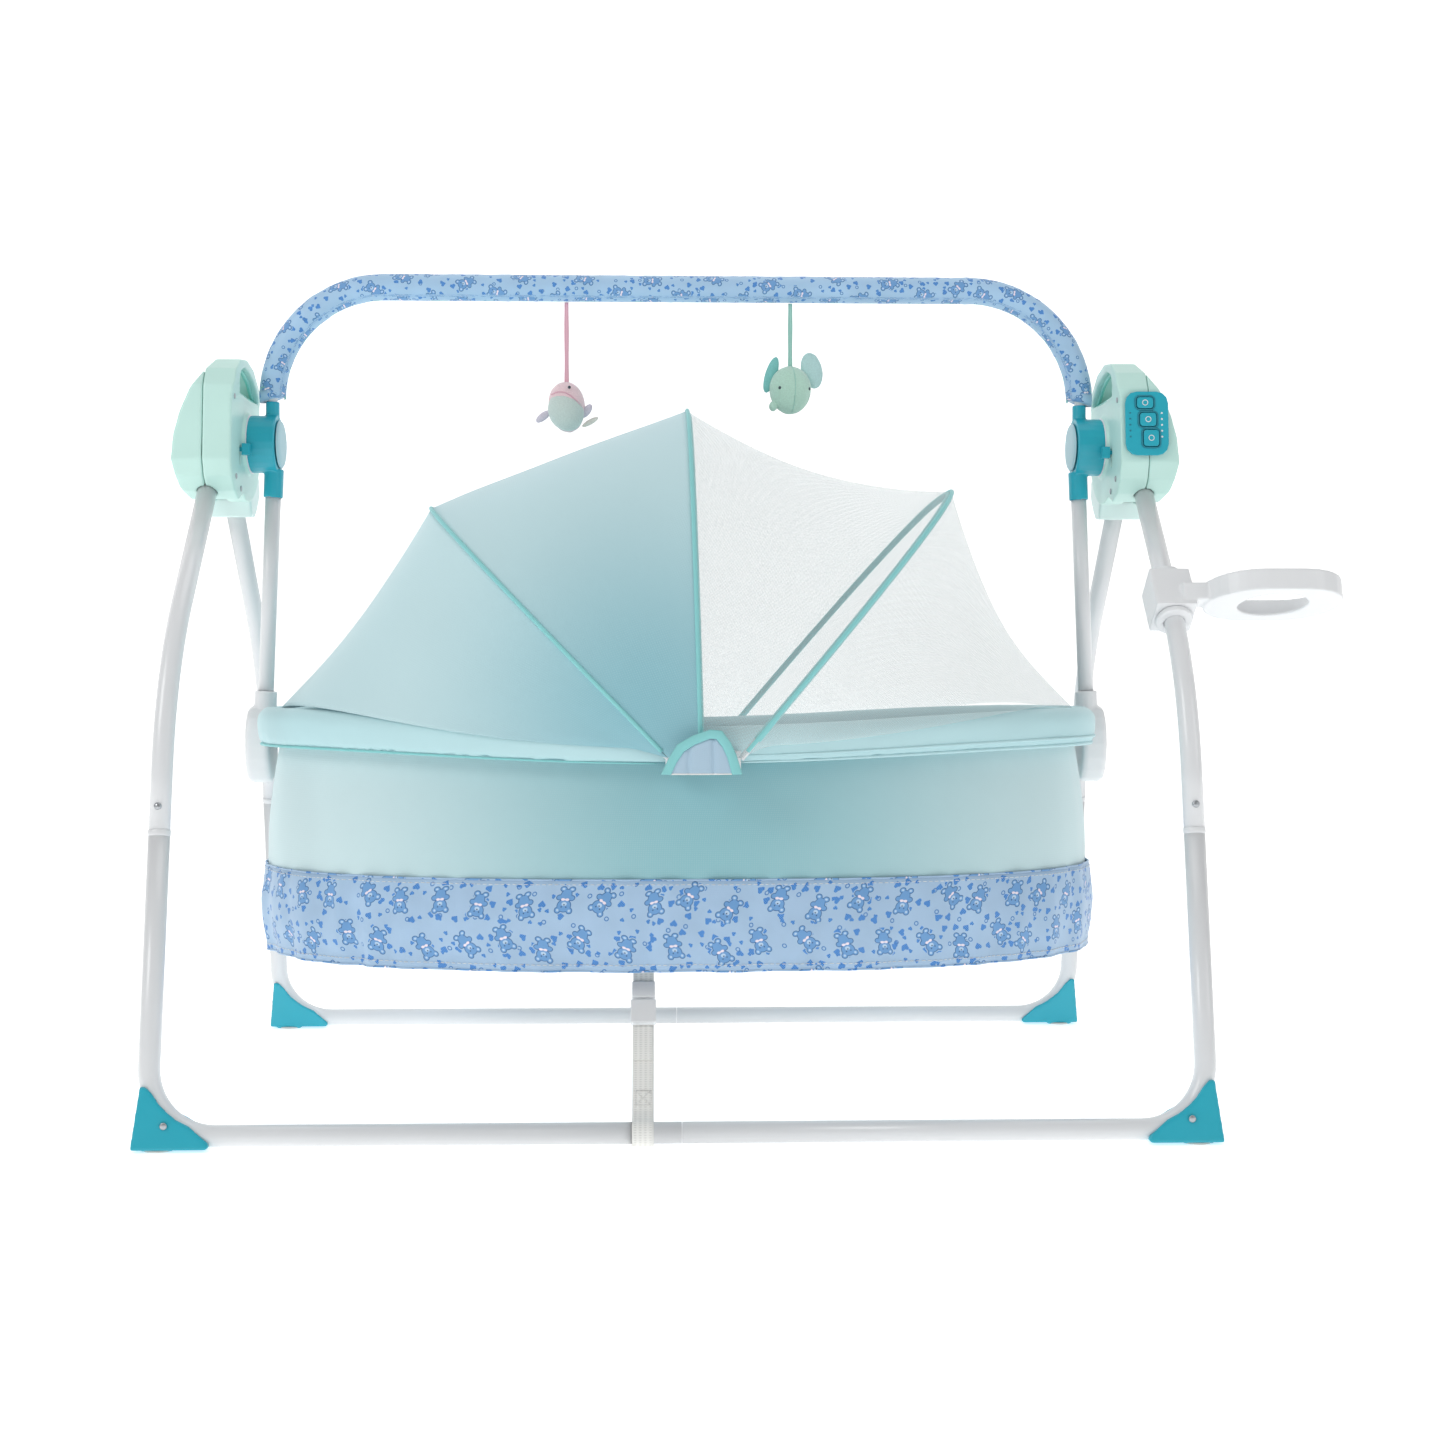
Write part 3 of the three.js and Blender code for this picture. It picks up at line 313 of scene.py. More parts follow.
def printed(name, base="#A9C6E2", dark="#3F74B0", scale=1.0):
    """Satin cotton printed with bears that wear a bow, checked hearts of two sizes and rings."""
    g = Graph(name, 0.55, Sheen_Weight=0.3, Sheen_Roughness=0.4)
    tone = g.mix(g.noise(22, 3), rgb(base, 0.86), rgb(base, 1.12))
    checks = g.node("TexChecker", {"Vector": g.uv, "Scale": 900.0 / scale}).outputs["Fac"]
    checked = g.mix(checks, rgb(dark), rgb(dark, 1.9))
    bears = Motifs(g, 41 * scale, 0.34, 1.6, 3.0)
    clear = g.math("SUBTRACT", 1.0, bears.bear(0.08))
    for cell, size, keep, seed in ((15, 0.5, 0.6, 1.0), (11, 0.42, 0.34, 2.0)):
        hearts = Motifs(g, cell * scale, 0.5, 3.0, seed)
        some = g.math("LESS_THAN", hearts.luck, keep)
        tone = g.mix(g.math("MULTIPLY", g.math("MULTIPLY", hearts.heart(size), some), clear), tone, checked)
    rings = Motifs(g, 27 * scale, 0.6, 0.0, 5.0)
    hoop = g.math("SUBTRACT", rings.disc(0, 0, 0.17), rings.disc(0, 0, 0.1))
    tone = g.mix(g.math("MULTIPLY", hoop, clear), tone, rgb(dark, 1.2))
    tone = g.mix(bears.bear(0.035), tone, rgb(dark, 0.8))
    tone = g.mix(bears.bear(0.0), tone, rgb("#6C9FD3"))
    muzzle, ears = bears.disc(0, 0.22, 0.12, 0.09), bears.disc(0.27, 0.52, 0.06)
    pale = bears.any(muzzle, ears, bears.disc(0.2, -0.46, 0.07, 0.05))
    tone = g.mix(pale, tone, rgb("#B9D3EC"))
    features = bears.any(bears.disc(0.11, 0.36, 0.03), bears.disc(0, 0.26, 0.04, 0.03))
    tone = g.mix(features, tone, rgb("#1C3F70"))
    bow = bears.any(bears.disc(0.1, 0.02, 0.09, 0.06), bears.disc(0, 0.02, 0.035))
    tone = g.mix(bow, tone, rgb("#F4E6EF"))
    g.colour(tone)
    g.rough(g.noise(35, 2), 0.42, 0.66)
    g.bump((weave(g), 0.25, 0.2), (g.noise(45, 3), 0.3, 1.2))
    return g.material


def circuit(name):
    g = Graph(name, 0.5)
    tracks = g.wave(80, "Y", distortion=6.0)
    g.colour(g.mix(g.math("GREATER_THAN", tracks, 0.72), rgb("#2C7A52"), rgb("#B58A3C")))
    g.bump((tracks, 0.3, 0.2))
    return g.material


LOOKS = {
    "white_steel": coated_steel("white_powder_coat", "#E2E4E6"),
    "white_plastic": moulded("white_moulding", "#E8EAEC"),
    "mint_plastic": moulded("mint_moulding", "#C6EBE3"),
    "mint_inside": moulded("mint_inner_moulding", "#7FD2C6"),
    "pale_mint_plastic": moulded("pale_mint_moulding", "#DDF3F0"),
    "teal_plastic": moulded("teal_moulding", "#1EABC0", 0.34),
    "teal_dark": moulded("teal_recess", "#127F92", 0.5),
    "cap_plastic": moulded("cap_moulding", "#A9CFD9", 0.5),
    "rubber": moulded("white_rubber", "#DADAD6", 0.7, 400),
    "steel": bare_steel("zinc_steel", "#B9BDC1"),
    "board": circuit("circuit_board"),
    "copper": bare_steel("copper_wire", "#B5693A"),
    # aqua_fabric and wall_fabric carry painted shade: each darkens to its second colour round a centre point
    # in x and z
    "aqua_fabric": cloth("aqua_polyester", "#C6E3E8", 0.95, wrinkle=0.1, painted_shade="#86BAC6",
                         centre=(-0.03, 0.40), reach=(0.26, 0.27)),
    "roll_fabric": cloth("aqua_roll_cloth", "#BCE0E5", 0.93, wrinkle=0.2),
    "wall_fabric": cloth("aqua_wall_cloth", "#CFE6E9", 0.97, wrinkle=0.12, painted_shade="#8BBFC7",
                         centre=(0.03, 0.30), reach=(0.42, 0.6)),
    "liner": cloth("liner_cloth", "#DCE9EF", 0.9),
    "piping": cloth("aqua_piping", "#8CD3D4", 0.9, 1500),
    "cream_plush": plush("cream_plush", "#F2F0E6"),
    "pleat": cloth("pocket_cloth", "#B4CFE2", 0.85),
    "print_fabric": printed("bear_print"),
    "sleeve_print": printed("sleeve_print", "#A9CCEA", scale=0.8),
    "net_fabric": netting("fine_net", "#DFE9EA"),
    "pink_plush": plush("pink_plush", "#F7DADF"),
    "pink_belly": plush("belly_plush", "#CFDFDA"),
    "lilac_plush": plush("lilac_plush", "#DCD6E4"),
    "mint_plush": plush("mint_plush", "#BFE6D5"),
    "ear_plush": plush("ear_plush", "#83CFCB"),
    "pale_ear_plush": plush("pale_ear_plush", "#BDE3E2"),
    "dark_thread": band("dark_thread", "#3C4A52"),
    "pink_ribbon": band("pink_ribbon", "#E8B4C4", 900),
    "green_ribbon": band("green_ribbon", "#9FD4C8", 900),
    "webbing": band("white_webbing", "#F0F0EC"),
    "thread": band("white_thread", "#FAFAF7", 1500),
}


# ---- Pieces -------------------------------------------------------------------------------------
def finished(obj, look, body, *nodes):
    """Gives a piece its finish and the body that it rides on, and hides the CAD nodes it stands for."""
    obj.data.materials.clear()
    obj.data.materials.append(LOOKS[look])
    if body:
        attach(obj, body)
    if nodes:
        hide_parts(*nodes)
    return obj


def mm_mesh(name, points, faces, uvs=None):
    """A mesh object from points in millimetres."""
    mesh = bpy.data.meshes.new(name)
    mesh.from_pydata([((x + CENTRE_X) * MM, y * MM, z * MM) for x, y, z in points], [], faces)
    if uvs:
        layer = mesh.uv_layers.new(name="cloth")
        for loop in mesh.loops:
            u, v = uvs[loop.vertex_index]
            layer.data[loop.index].uv = (u * MM, v * MM)
    mesh.validate()
    for polygon in mesh.polygons:
        polygon.use_smooth = True
    obj = bpy.data.objects.new(name, mesh)
    bpy.context.collection.objects.link(obj)
    return obj


def outward(obj):
    """Turns every face of a closed mesh outwards."""
    work = bmesh.new()
    work.from_mesh(obj.data)
    bmesh.ops.remove_doubles(work, verts=work.verts, dist=1e-6)
    bmesh.ops.recalc_face_normals(work, faces=work.faces)
    work.to_mesh(obj.data)
    work.free()
    return obj


def sheet_grid(name, at, rows, columns, thickness=0.0, closed=False):
    """A surface from at(u, v), with u and v from 0 to 1, as a shell of that thickness in mm."""
    across = columns if closed else columns + 1
    points = [at(j / columns, i / rows) for i in range(rows + 1) for j in range(across)]
    faces = []
    for i in range(rows):
        for j in range(columns):
            k, n = i * across + j, i * across + (j + 1) % across
            faces.append((k, n, n + across, k + across))
    middle = across // 2
    length, uvs = 0.0, []
    for i in range(rows + 1):
        row = [Vector(p) for p in points[i * across:(i + 1) * across]]
        if i:
            length += (row[middle] - Vector(points[(i - 1) * across + middle])).length
        girth = [0.0]
        for a, b in zip(row, row[1:]):
            girth.append(girth[-1] + (b - a).length)
        uvs += [(g - girth[middle], length) for g in girth]
    obj = mm_mesh(name, points, faces, uvs)
    if thickness:
        solid = obj.modifiers.new("thickness", "SOLIDIFY")
        solid.thickness = thickness * MM
        solid.offset = 0
        apply_modifiers(obj)
    return obj


def apply_modifiers(obj):
    evaluated = obj.evaluated_get(bpy.context.evaluated_depsgraph_get())
    mesh = bpy.data.meshes.new_from_object(evaluated)
    obj.modifiers.clear()
    obj.data = mesh
    for polygon in mesh.polygons:
        polygon.use_smooth = True
    return obj


def bent(corners, bends, steps=14):
    """Points along straight runs with round bends at the inner corners."""
    at = [Vector(c) for c in corners]
    points = [at[0]]
    for i, radius in enumerate(bends, 1):
        into, out = (at[i] - at[i - 1]).normalized(), (at[i + 1] - at[i]).normalized()
        angle = into.angle(out)
        start = at[i] - into * radius * math.tan(angle / 2)
        side = (out - into * math.cos(angle)).normalized()
        for k in range(steps + 1):
            turn = angle * k / steps
            points.append(start + into * radius * math.sin(turn) + side * radius * (1 - math.cos(turn)))
    points.append(at[-1])
    return points


def sweep(name, points, radius, sides=24, closed=False, up=None):
    """A round tube along points; radius may be a function of the share of the way."""
    points = [Vector(p) for p in points]
    count = len(points)
    reach = radius if callable(radius) else lambda share: radius
    tangents = []
    for i in range(count):
        if closed:
            ahead, behind = points[(i + 1) % count], points[i - 1]
        else:
            ahead, behind = points[min(i + 1, count - 1)], points[max(i - 1, 0)]
        tangents.append((ahead - behind).normalized())
    normal = (Vector(up) if up else tangents[0].orthogonal()).normalized()
    rings, lengths = [], [0.0]
    for i, (point, tangent) in enumerate(zip(points, tangents)):
        if i:
            lengths.append(lengths[-1] + (point - points[i - 1]).length)
        normal = (normal - tangent * normal.dot(tangent)).normalized()
        side = tangent.cross(normal)
        r = reach(i / max(1, count - 1))
        for k in range(sides):
            turn = 2 * math.pi * k / sides
            rings.append(point + normal * r * math.cos(turn) + side * r * math.sin(turn))
    faces = []
    for i in range(count if closed else count - 1):
        for k in range(sides):
            a, b = i * sides + k, i * sides + (k + 1) % sides
            c, d = ((i + 1) % count) * sides + (k + 1) % sides, ((i + 1) % count) * sides + k
            faces.append((a, b, c, d))
    if not closed:
        faces.append(tuple(reversed(range(sides))))
        faces.append(tuple(range((count - 1) * sides, count * sides)))
    girth = 2 * math.pi * reach(0.5)
    uvs = [(girth * k / sides, lengths[i]) for i in range(count) for k in range(sides)]
    return mm_mesh(name, [tuple(p) for p in rings], faces, uvs)


def joined(name, pieces):
    """One object from several."""
    work = bmesh.new()
    for piece in pieces:
        work.from_mesh(piece.data)
    mesh = bpy.data.meshes.new(name)
    work.to_mesh(mesh)
    work.free()
    for piece in pieces:
        bpy.data.objects.remove(piece)
    obj = bpy.data.objects.new(name, mesh)
    bpy.context.collection.objects.link(obj)
    return obj


def remeshed(obj, voxel, smooth=0):
    """The same solid in even small faces, with its edges rounded by smoothing."""
    modifier = obj.modifiers.new("remesh", "REMESH")
    modifier.mode = "VOXEL"
    modifier.voxel_size = voxel * MM
    if smooth:
        softened = obj.modifiers.new("smooth", "SMOOTH")
        softened.iterations = smooth
        softened.factor = 0.5
    return apply_modifiers(obj)


def refined(node, look, voxel, smooth):
    """A moulded piece with rounded edges, made from its CAD solid."""
    source = frame["nodes"][node]
    obj = bpy.data.objects.new(node + "_moulding", source.data.copy())
    bpy.context.collection.objects.link(obj)
    outward(obj)
    remeshed(obj, voxel, smooth)
    return finished(obj, look, BODY_OF[node], node)


CLOTH_FRAMES = 20


def puffed(obj, voxel, pressure, cap, pinned=None):
    """Swells a padded piece by cloth simulation, with no point moving further than cap (mm)."""
    remeshed(obj, voxel)
    scene = bpy.context.scene
    before = [v.co.copy() for v in obj.data.vertices]
    held = obj.vertex_groups.new(name="held")
    for i, point in enumerate(before):
        if pinned and pinned(point / MM - Vector((CENTRE_X, 0, 0))):
            held.add([i], 1.0, "REPLACE")
    modifier = obj.modifiers.new("cloth", "CLOTH")
    settings = modifier.settings
    settings.use_pressure = True
    settings.uniform_pressure_force = pressure
    settings.effector_weights.gravity = 0
    settings.vertex_group_mass = "held" if pinned else ""
    settings.quality = 4
    modifier.collision_settings.use_collision = False
    modifier.point_cache.frame_end = CLOTH_FRAMES
    for number in range(1, CLOTH_FRAMES + 1):
        scene.frame_set(number)
    evaluated = obj.evaluated_get(bpy.context.evaluated_depsgraph_get())
    after = [v.co.copy() for v in evaluated.data.vertices]
    obj.modifiers.remove(modifier)
    scene.frame_set(1)
    for vertex, old, new in zip(obj.data.vertices, before, after):
        step = new - old
        vertex.co = old + step * min(1.0, cap * MM / max(step.length, 1e-9))
    refine = obj.modifiers.new("refine", "SUBSURF")
    refine.levels = 1
    return apply_modifiers(obj)


def turned_solid(name, profile, base, axis, sides=32):
    """A solid of revolution from (radius, height) pairs along an axis from a base point."""
    base, axis = Vector(base), Vector(axis).normalized()
    side = axis.orthogonal().normalized()
    other = axis.cross(side)
    points, faces = [], []
    for radius, height in profile:
        for k in range(sides):
            turn = 2 * math.pi * k / sides
            spoke = side * math.cos(turn) + other * math.sin(turn)
            points.append(tuple(base + axis * height + spoke * max(radius, 0.01)))
    for i in range(len(profile) - 1):
        for k in range(sides):
            n = (k + 1) % sides
            faces.append((i * sides + k, i * sides + n, (i + 1) * sides + n, (i + 1) * sides + k))
    faces.append(tuple(reversed(range(sides))))
    faces.append(tuple(range((len(profile) - 1) * sides, len(profile) * sides)))
    return outward(mm_mesh(name, points, faces))


def screw(name, at, axis, radius=3.2):
    """A pan-head screw, seated with its head's top at the point."""
    shank = radius * 0.5
    head = [(0, -2.5), (shank, -2.5), (shank, -1.2), (radius, -1.1), (radius, -0.5),
            (radius * 0.7, 0), (0, 0.1)]
    return turned_solid(name, head, at, axis, 24)


# ---- Camera, light and floor --------------------------------------------------------------------
SENSOR_WIDTH, LENS = 36, 47.6
CAMERA_LEFT, CAMERA_AWAY, CAMERA_HEIGHT = 19, 2.06, 0.426  # mm left of the centre line, then metres
CAMERA_DOWN, CAMERA_YAW = 1.2, -1.84
PAPER_GLOW, WORLD_LIGHT = 0.56, 0.44
LIGHT_AIM = Vector((0, 0, 0.4))


def make_stage():
    """A white sweep of floor and wall, a soft studio and a camera low in front of the swing."""
    half, front, back, bend, high = 9.0, -9.0, 5.0, 2.0, 9.0
    profile = [(front, 0.0)]
    profile += [(back - bend + bend * math.sin(a), bend - bend * math.cos(a)) for a in
                (math.pi / 2 * k / 12 for k in range(13))]
    profile.append((back, high))
    sweep_mesh = bpy.data.meshes.new("sweep")
    points = [(x, y, z) for y, z in profile for x in (-half, half)]
    faces = [(2 * k, 2 * k + 1, 2 * k + 3, 2 * k + 2) for k in range(len(profile) - 1)]
    sweep_mesh.from_pydata(points, [], faces)
    sweep_mesh.polygons.foreach_set("use_smooth", [True] * len(faces))
    stage = bpy.data.objects.new("sweep", sweep_mesh)
    bpy.context.collection.objects.link(stage)
    paper = Graph("white_paper", 0.7, Emission_Color=(1, 1, 1, 1), Emission_Strength=PAPER_GLOW)
    paper.colour(paper.mix(paper.noise(1.5, 2), rgb("#F7F7F6"), rgb("#FAFAFA")))
    sweep_mesh.materials.append(paper.material)

    world = bpy.data.worlds.new("studio")
    world.use_nodes = True
    sky = world.node_tree.nodes["Background"].inputs
    sky["Color"].default_value = (1.0, 1.0, 1.0, 1)
    sky["Strength"].default_value = WORLD_LIGHT
    bpy.context.scene.world = world
    bpy.context.scene.view_settings.view_transform = "Standard"

    def light(name, place, power, size):
        data = bpy.data.lights.new(name, "AREA")
        data.energy, data.size = power, size
        lamp = bpy.data.objects.new(name, data)
        lamp.location = place
        aim = LIGHT_AIM - Vector(place)
        lamp.rotation_euler = aim.to_track_quat("-Z", "Y").to_euler()
        bpy.context.collection.objects.link(lamp)

    light("key", (-2.4, -1.8, 2.2), 23, 1.2)
    light("fill", (2.6, -1.6, 1.6), 7, 1.2)
    light("top", (0.0, 0.2, 2.8), 12, 1.6)

    data = bpy.data.cameras.new("camera")
    data.sensor_width, data.lens = SENSOR_WIDTH, LENS
    camera = bpy.data.objects.new("camera", data)
    camera.location = ((CENTRE_X - CAMERA_LEFT) * MM, -CAMERA_AWAY, CAMERA_HEIGHT)
    camera.rotation_euler = (math.radians(90 - CAMERA_DOWN), 0, math.radians(CAMERA_YAW))
    bpy.context.collection.objects.link(camera)
    bpy.context.scene.camera = camera


# ---- Stand --------------------------------------------------------------------------------------
def make_legs():
    for part, end, body in (("front", -1, "stand"), ("rear", 1, "rear_stand")):
        top_y, top_z = LEG_TOPS[part]
        for hand, side in SIDES:
            x = side * LEG_X
            upper = bent([(x, end * top_y, top_z), (x, end * LEG_CORNER_Y, LEG_CORNER_Z),
                          (x, end * SEAM_Y, SEAM_Z + 0.4)], [LEG_BEND])
            node = f"{part}_upper_leg_{hand}"
            finished(sweep(node + "_tube", upper, TUBE_R), "white_steel", body, node)
            lower = bent([(x, end * SEAM_Y, SEAM_Z - 0.4), (x, end * FLOOR_Y, FLOOR_Z),
                          (side * 0.2, end * FLOOR_Y, FLOOR_Z)], [FLOOR_BEND])
            node = f"{part}_lower_frame_{hand}"
            finished(sweep(node + "_tube", lower, TUBE_R), "white_steel", body, node)
            leg_dir = Vector((0, upper[-1][1] - upper[-2][1], upper[-1][2] - upper[-2][2])).normalized()
            seam = Vector((x, end * SEAM_Y, SEAM_Z))
            swage = [(TUBE_R, -3), (TUBE_R + 0.5, -2.2), (TUBE_R + 0.5, 2.2), (TUBE_R, 3)]
            ring = turned_solid(f"{node}_swage", swage, seam, leg_dir, 40)
            finished(ring, "white_steel", body)
            snap = seam - leg_dir * 24 + Vector((0, end * TUBE_R * 0.9, 2))
            button = turned_solid(f"{node}_snap_button", [(3.6, -2), (3.6, 0.8), (2.6, 2.2), (0, 2.5)], snap,
                                  (0, end, 0.2), 20)
            finished(button, "steel", body)
        for hand, side in SIDES:
            refined(f"{part}_foot_{hand}", "teal_plastic", 1.4, 8)
        for hand, side in SIDES:
            pad = [(14, 0.05), (14, 1.6), (12.5, 2.3), (0, 2.4)]
            at = (side * 477, end * FLOOR_Y, 0)
            finished(turned_solid(f"{part}_pad_{hand}", pad, at, (0, 0, 1), 28), "rubber", body)
            bolt_at = (side * 470, end * (FLOOR_Y + 13.6), 24)
            finished(screw(f"{part}_foot_screw_{hand}", bolt_at, (0, end, 0), 3.4), "steel", body)


HANDLE_RIM = ((-50, 739), (-44, 749.5), (-27, 755.2), (-8, 754.4), (14, 748.4), (32, 737.5), (43, 730.6),
              (0, 729.2), (-44, 731))


def make_housings():
    for hand, side in SIDES:
        refined(f"housing_inner_{hand}", "mint_plastic", 1.15, 7)
        refined(f"housing_outer_{hand}", "mint_plastic", 1.15, 7)
        refined(f"rear_knuckle_{hand}", "pale_mint_plastic", 1.4, 10)
        refined(f"fold_latch_{hand}", "teal_plastic", 0.5, 3)
        refined(f"hub_{hand}", "teal_plastic", 1.0, 6)
        refined(f"hub_cap_{hand}", "cap_plastic", 0.6, 6)
        refined(f"rim_hub_{hand}", "white_plastic", 1.1, 8)
        loop = [(side * 463.5, y, z) for y, z in HANDLE_RIM]
        lining = sweep(f"handle_lining_{hand}", smooth_loop(loop), 2.2, 10, closed=True)
        finished(lining, "mint_inside", "stand")
        section = [(16, 0), (16, 1.6), (20, 2.6), (29, 2.6), (31.5, 1.4), (31.5, 0)]
        centre = (side * 457.2, 0, AXIS_Z)
        ring = turned_solid(f"bearing_ring_{hand}", section, centre, (-side, 0, 0), 48)
        for i, (y, z) in enumerate(((-60, 640), (-38, 629), (44, 704), (-66, 722))):
            at = (side * (HOUSING_FACE - 1.0), y, z)
            finished(screw(f"housing_screw_{hand}_{i}", at, (-side, 0, 0)), "steel", "stand")
        finished(ring, "white_plastic", "stand")
    for hand, side in SIDES:
        line = [(side * ARM_TOP[0], 0, ARM_TOP[1]), (side * ARM_LOW[0], 0, ARM_LOW[1])]
        arm = sweep(f"swing_arm_{hand}_tube", line, 8.2, 32)
        finished(arm, "white_steel", "swing", f"swing_arm_{hand}")


def smooth_loop(points, copies=6):
    """A closed Catmull-Rom curve through points."""
    made = []
    count = len(points)
    for i in range(count):
        a, b, c, d = (Vector(points[(i + k) % count]) for k in (-1, 0, 1, 2))
        for k in range(copies):
            t = k / copies
            made.append(0.5 * (2 * b + (c - a) * t + (2 * a - 5 * b + 4 * c - d) * t * t
                               + (3 * b - a - 3 * c + d) * t ** 3))
    return made


def on_panel(x, depth, z):
    """A point given in the control panel's own tilted frame."""
    c, s = math.cos(PANEL_TILT), math.sin(PANEL_TILT)
    px, py, pz = PANEL_AT
    return (px + x, py + depth * c - z * s, pz + depth * s + z * c)


def rounded_outline(width, height, radius, steps=8):
    points = []
    for corner, (sx, sz) in enumerate(((1, 1), (-1, 1), (-1, -1), (1, -1))):
        for k in range(steps + 1):
            turn = math.pi / 2 * (corner + k / steps)
            points.append((sx * (width / 2 - radius) + radius * math.cos(turn),
                           sz * (height / 2 - radius) + radius * math.sin(turn)))
    return points


def make_panel():
    refined("control_panel", "teal_plastic", 0.5, 5)
    buttons = (("timer", -2, 21.5, 17, 11.5), ("speed", 1, 4, 17, 14), ("power", 4, -15.5, 16, 17))
    for name, x, z, width, height in buttons:
        body = f"{name}_button"
        refined(f"button_{name}", "teal_plastic", 0.45, 5)
        rim = [on_panel(x + u, -3.2, z + v) for u, v in rounded_outline(width + 3, height + 3, 4.4)]
        finished(sweep(f"{name}_rim", rim, 0.9, 8, closed=True), "teal_dark", "stand")
        ring = [on_panel(x + u, -4.5, z + v) for u, v in rounded_outline(5.4, 5.4, 2.6, 5)]
        mark = sweep(f"{name}_mark", ring, 0.45, 6, closed=True)
        finished(mark, "white_plastic", body)
    for column in (-17.5, 15.5):
        for k in range(5):
            at = on_panel(column, -2.9, -14 + 6.2 * k)
            lens = [(1.1, -0.6), (1.1, 0.2), (0.7, 0.5), (0, 0.6)]
            dot = turned_solid(f"indicator_{column:.0f}_{k}", lens, at, (0, -1, 0.09), 14)
            finished(dot, "teal_dark" if column < 0 else "white_plastic", "stand")
    finished_cad("drive_board", "board")
    coil = []
    for k in range(18):
        turn = k * math.pi / 9
        coil.append(Vector((505.2 + 0.28 * (k % 8), 10.5 * math.cos(turn), 650 + 10.5 * math.sin(turn))))
    finished(sweep("coil_winding", coil, 2.4, 10, closed=True), "copper", "stand")


def finished_cad(node, look):
    """A CAD node that shows as it is, with a better finish."""
    data = frame["nodes"][node].data
    data.materials.clear()
    data.materials.append(LOOKS[look])


# ---- Cradle -------------------------------------------------------------------------------------
def signed_power(value, power):
    return math.copysign(abs(value) ** power, value)


def oval(turn, grow=0.0):
    """Plan of the rim at a turn from the right-hand end, moved outwards by grow."""
    r = RIM_B + grow
    x = (r + RIM_A - RIM_B) * signed_power(math.cos(turn), 2 / RIM_POWER)
    return x, r * signed_power(math.sin(turn), 2 / RIM_POWER)


def sink(x, z):
    middle = math.cos(math.pi / 2 * max(-1, min(1, x / RIM_A))) ** 2
    return RIM_DIP * middle * max(0, min(1, (z - 250) / (RIM_Z - 250)))


def even_turns(samples=4000):
    """Turns of the oval by share of its length."""
    lengths, last = [0.0], Vector(oval(0))
    for i in range(1, samples + 1):
        here = Vector(oval(2 * math.pi * i / samples))
        lengths.append(lengths[-1] + (here - last).length)
        last = here
    return lengths


OVAL_LENGTHS = even_turns()


def turn_at(share):
    """The turn at a share of the way round the rim by length."""
    target = (share % 1.0) * OVAL_LENGTHS[-1]
    low, high = 0, len(OVAL_LENGTHS) - 1
    while high - low > 1:
        middle = (low + high) // 2
        low, high = (middle, high) if OVAL_LENGTHS[middle] <= target else (low, middle)
    part = (target - OVAL_LENGTHS[low]) / max(1e-9, OVAL_LENGTHS[high] - OVAL_LENGTHS[low])
    return 2 * math.pi * (low + part) / (len(OVAL_LENGTHS) - 1)


def ring_point(share, grow, z, ripple=0.0):
    x, y = oval(turn_at(share), grow + ripple)
    return (x, y, z - sink(x, z))


def ring_band(name, profile, ripple, columns=420, rows=14, thickness=1.6):
    """A band round the oval; profile(v) gives (outward, height), ripple(share, v) an outward wave."""
    def at(u, v):
        grow, z = profile(v)
        return ring_point(u, grow, z, ripple(u, v))
    return sheet_grid(name, at, rows, columns, thickness, closed=True)


def gathers(share, count, seed, depth):
    """Uneven soft folds round the oval."""
    along, across = math.cos(share * ROUND), math.sin(share * ROUND)
    swell = noise.noise(Vector((along * 2.2, across * 2.2, seed)))
    wander = noise.noise(Vector((along * 9, across * 9, seed + 5)))
    return depth * (0.55 + 0.9 * abs(swell)) * math.sin(share * ROUND * count + 5 * wander)


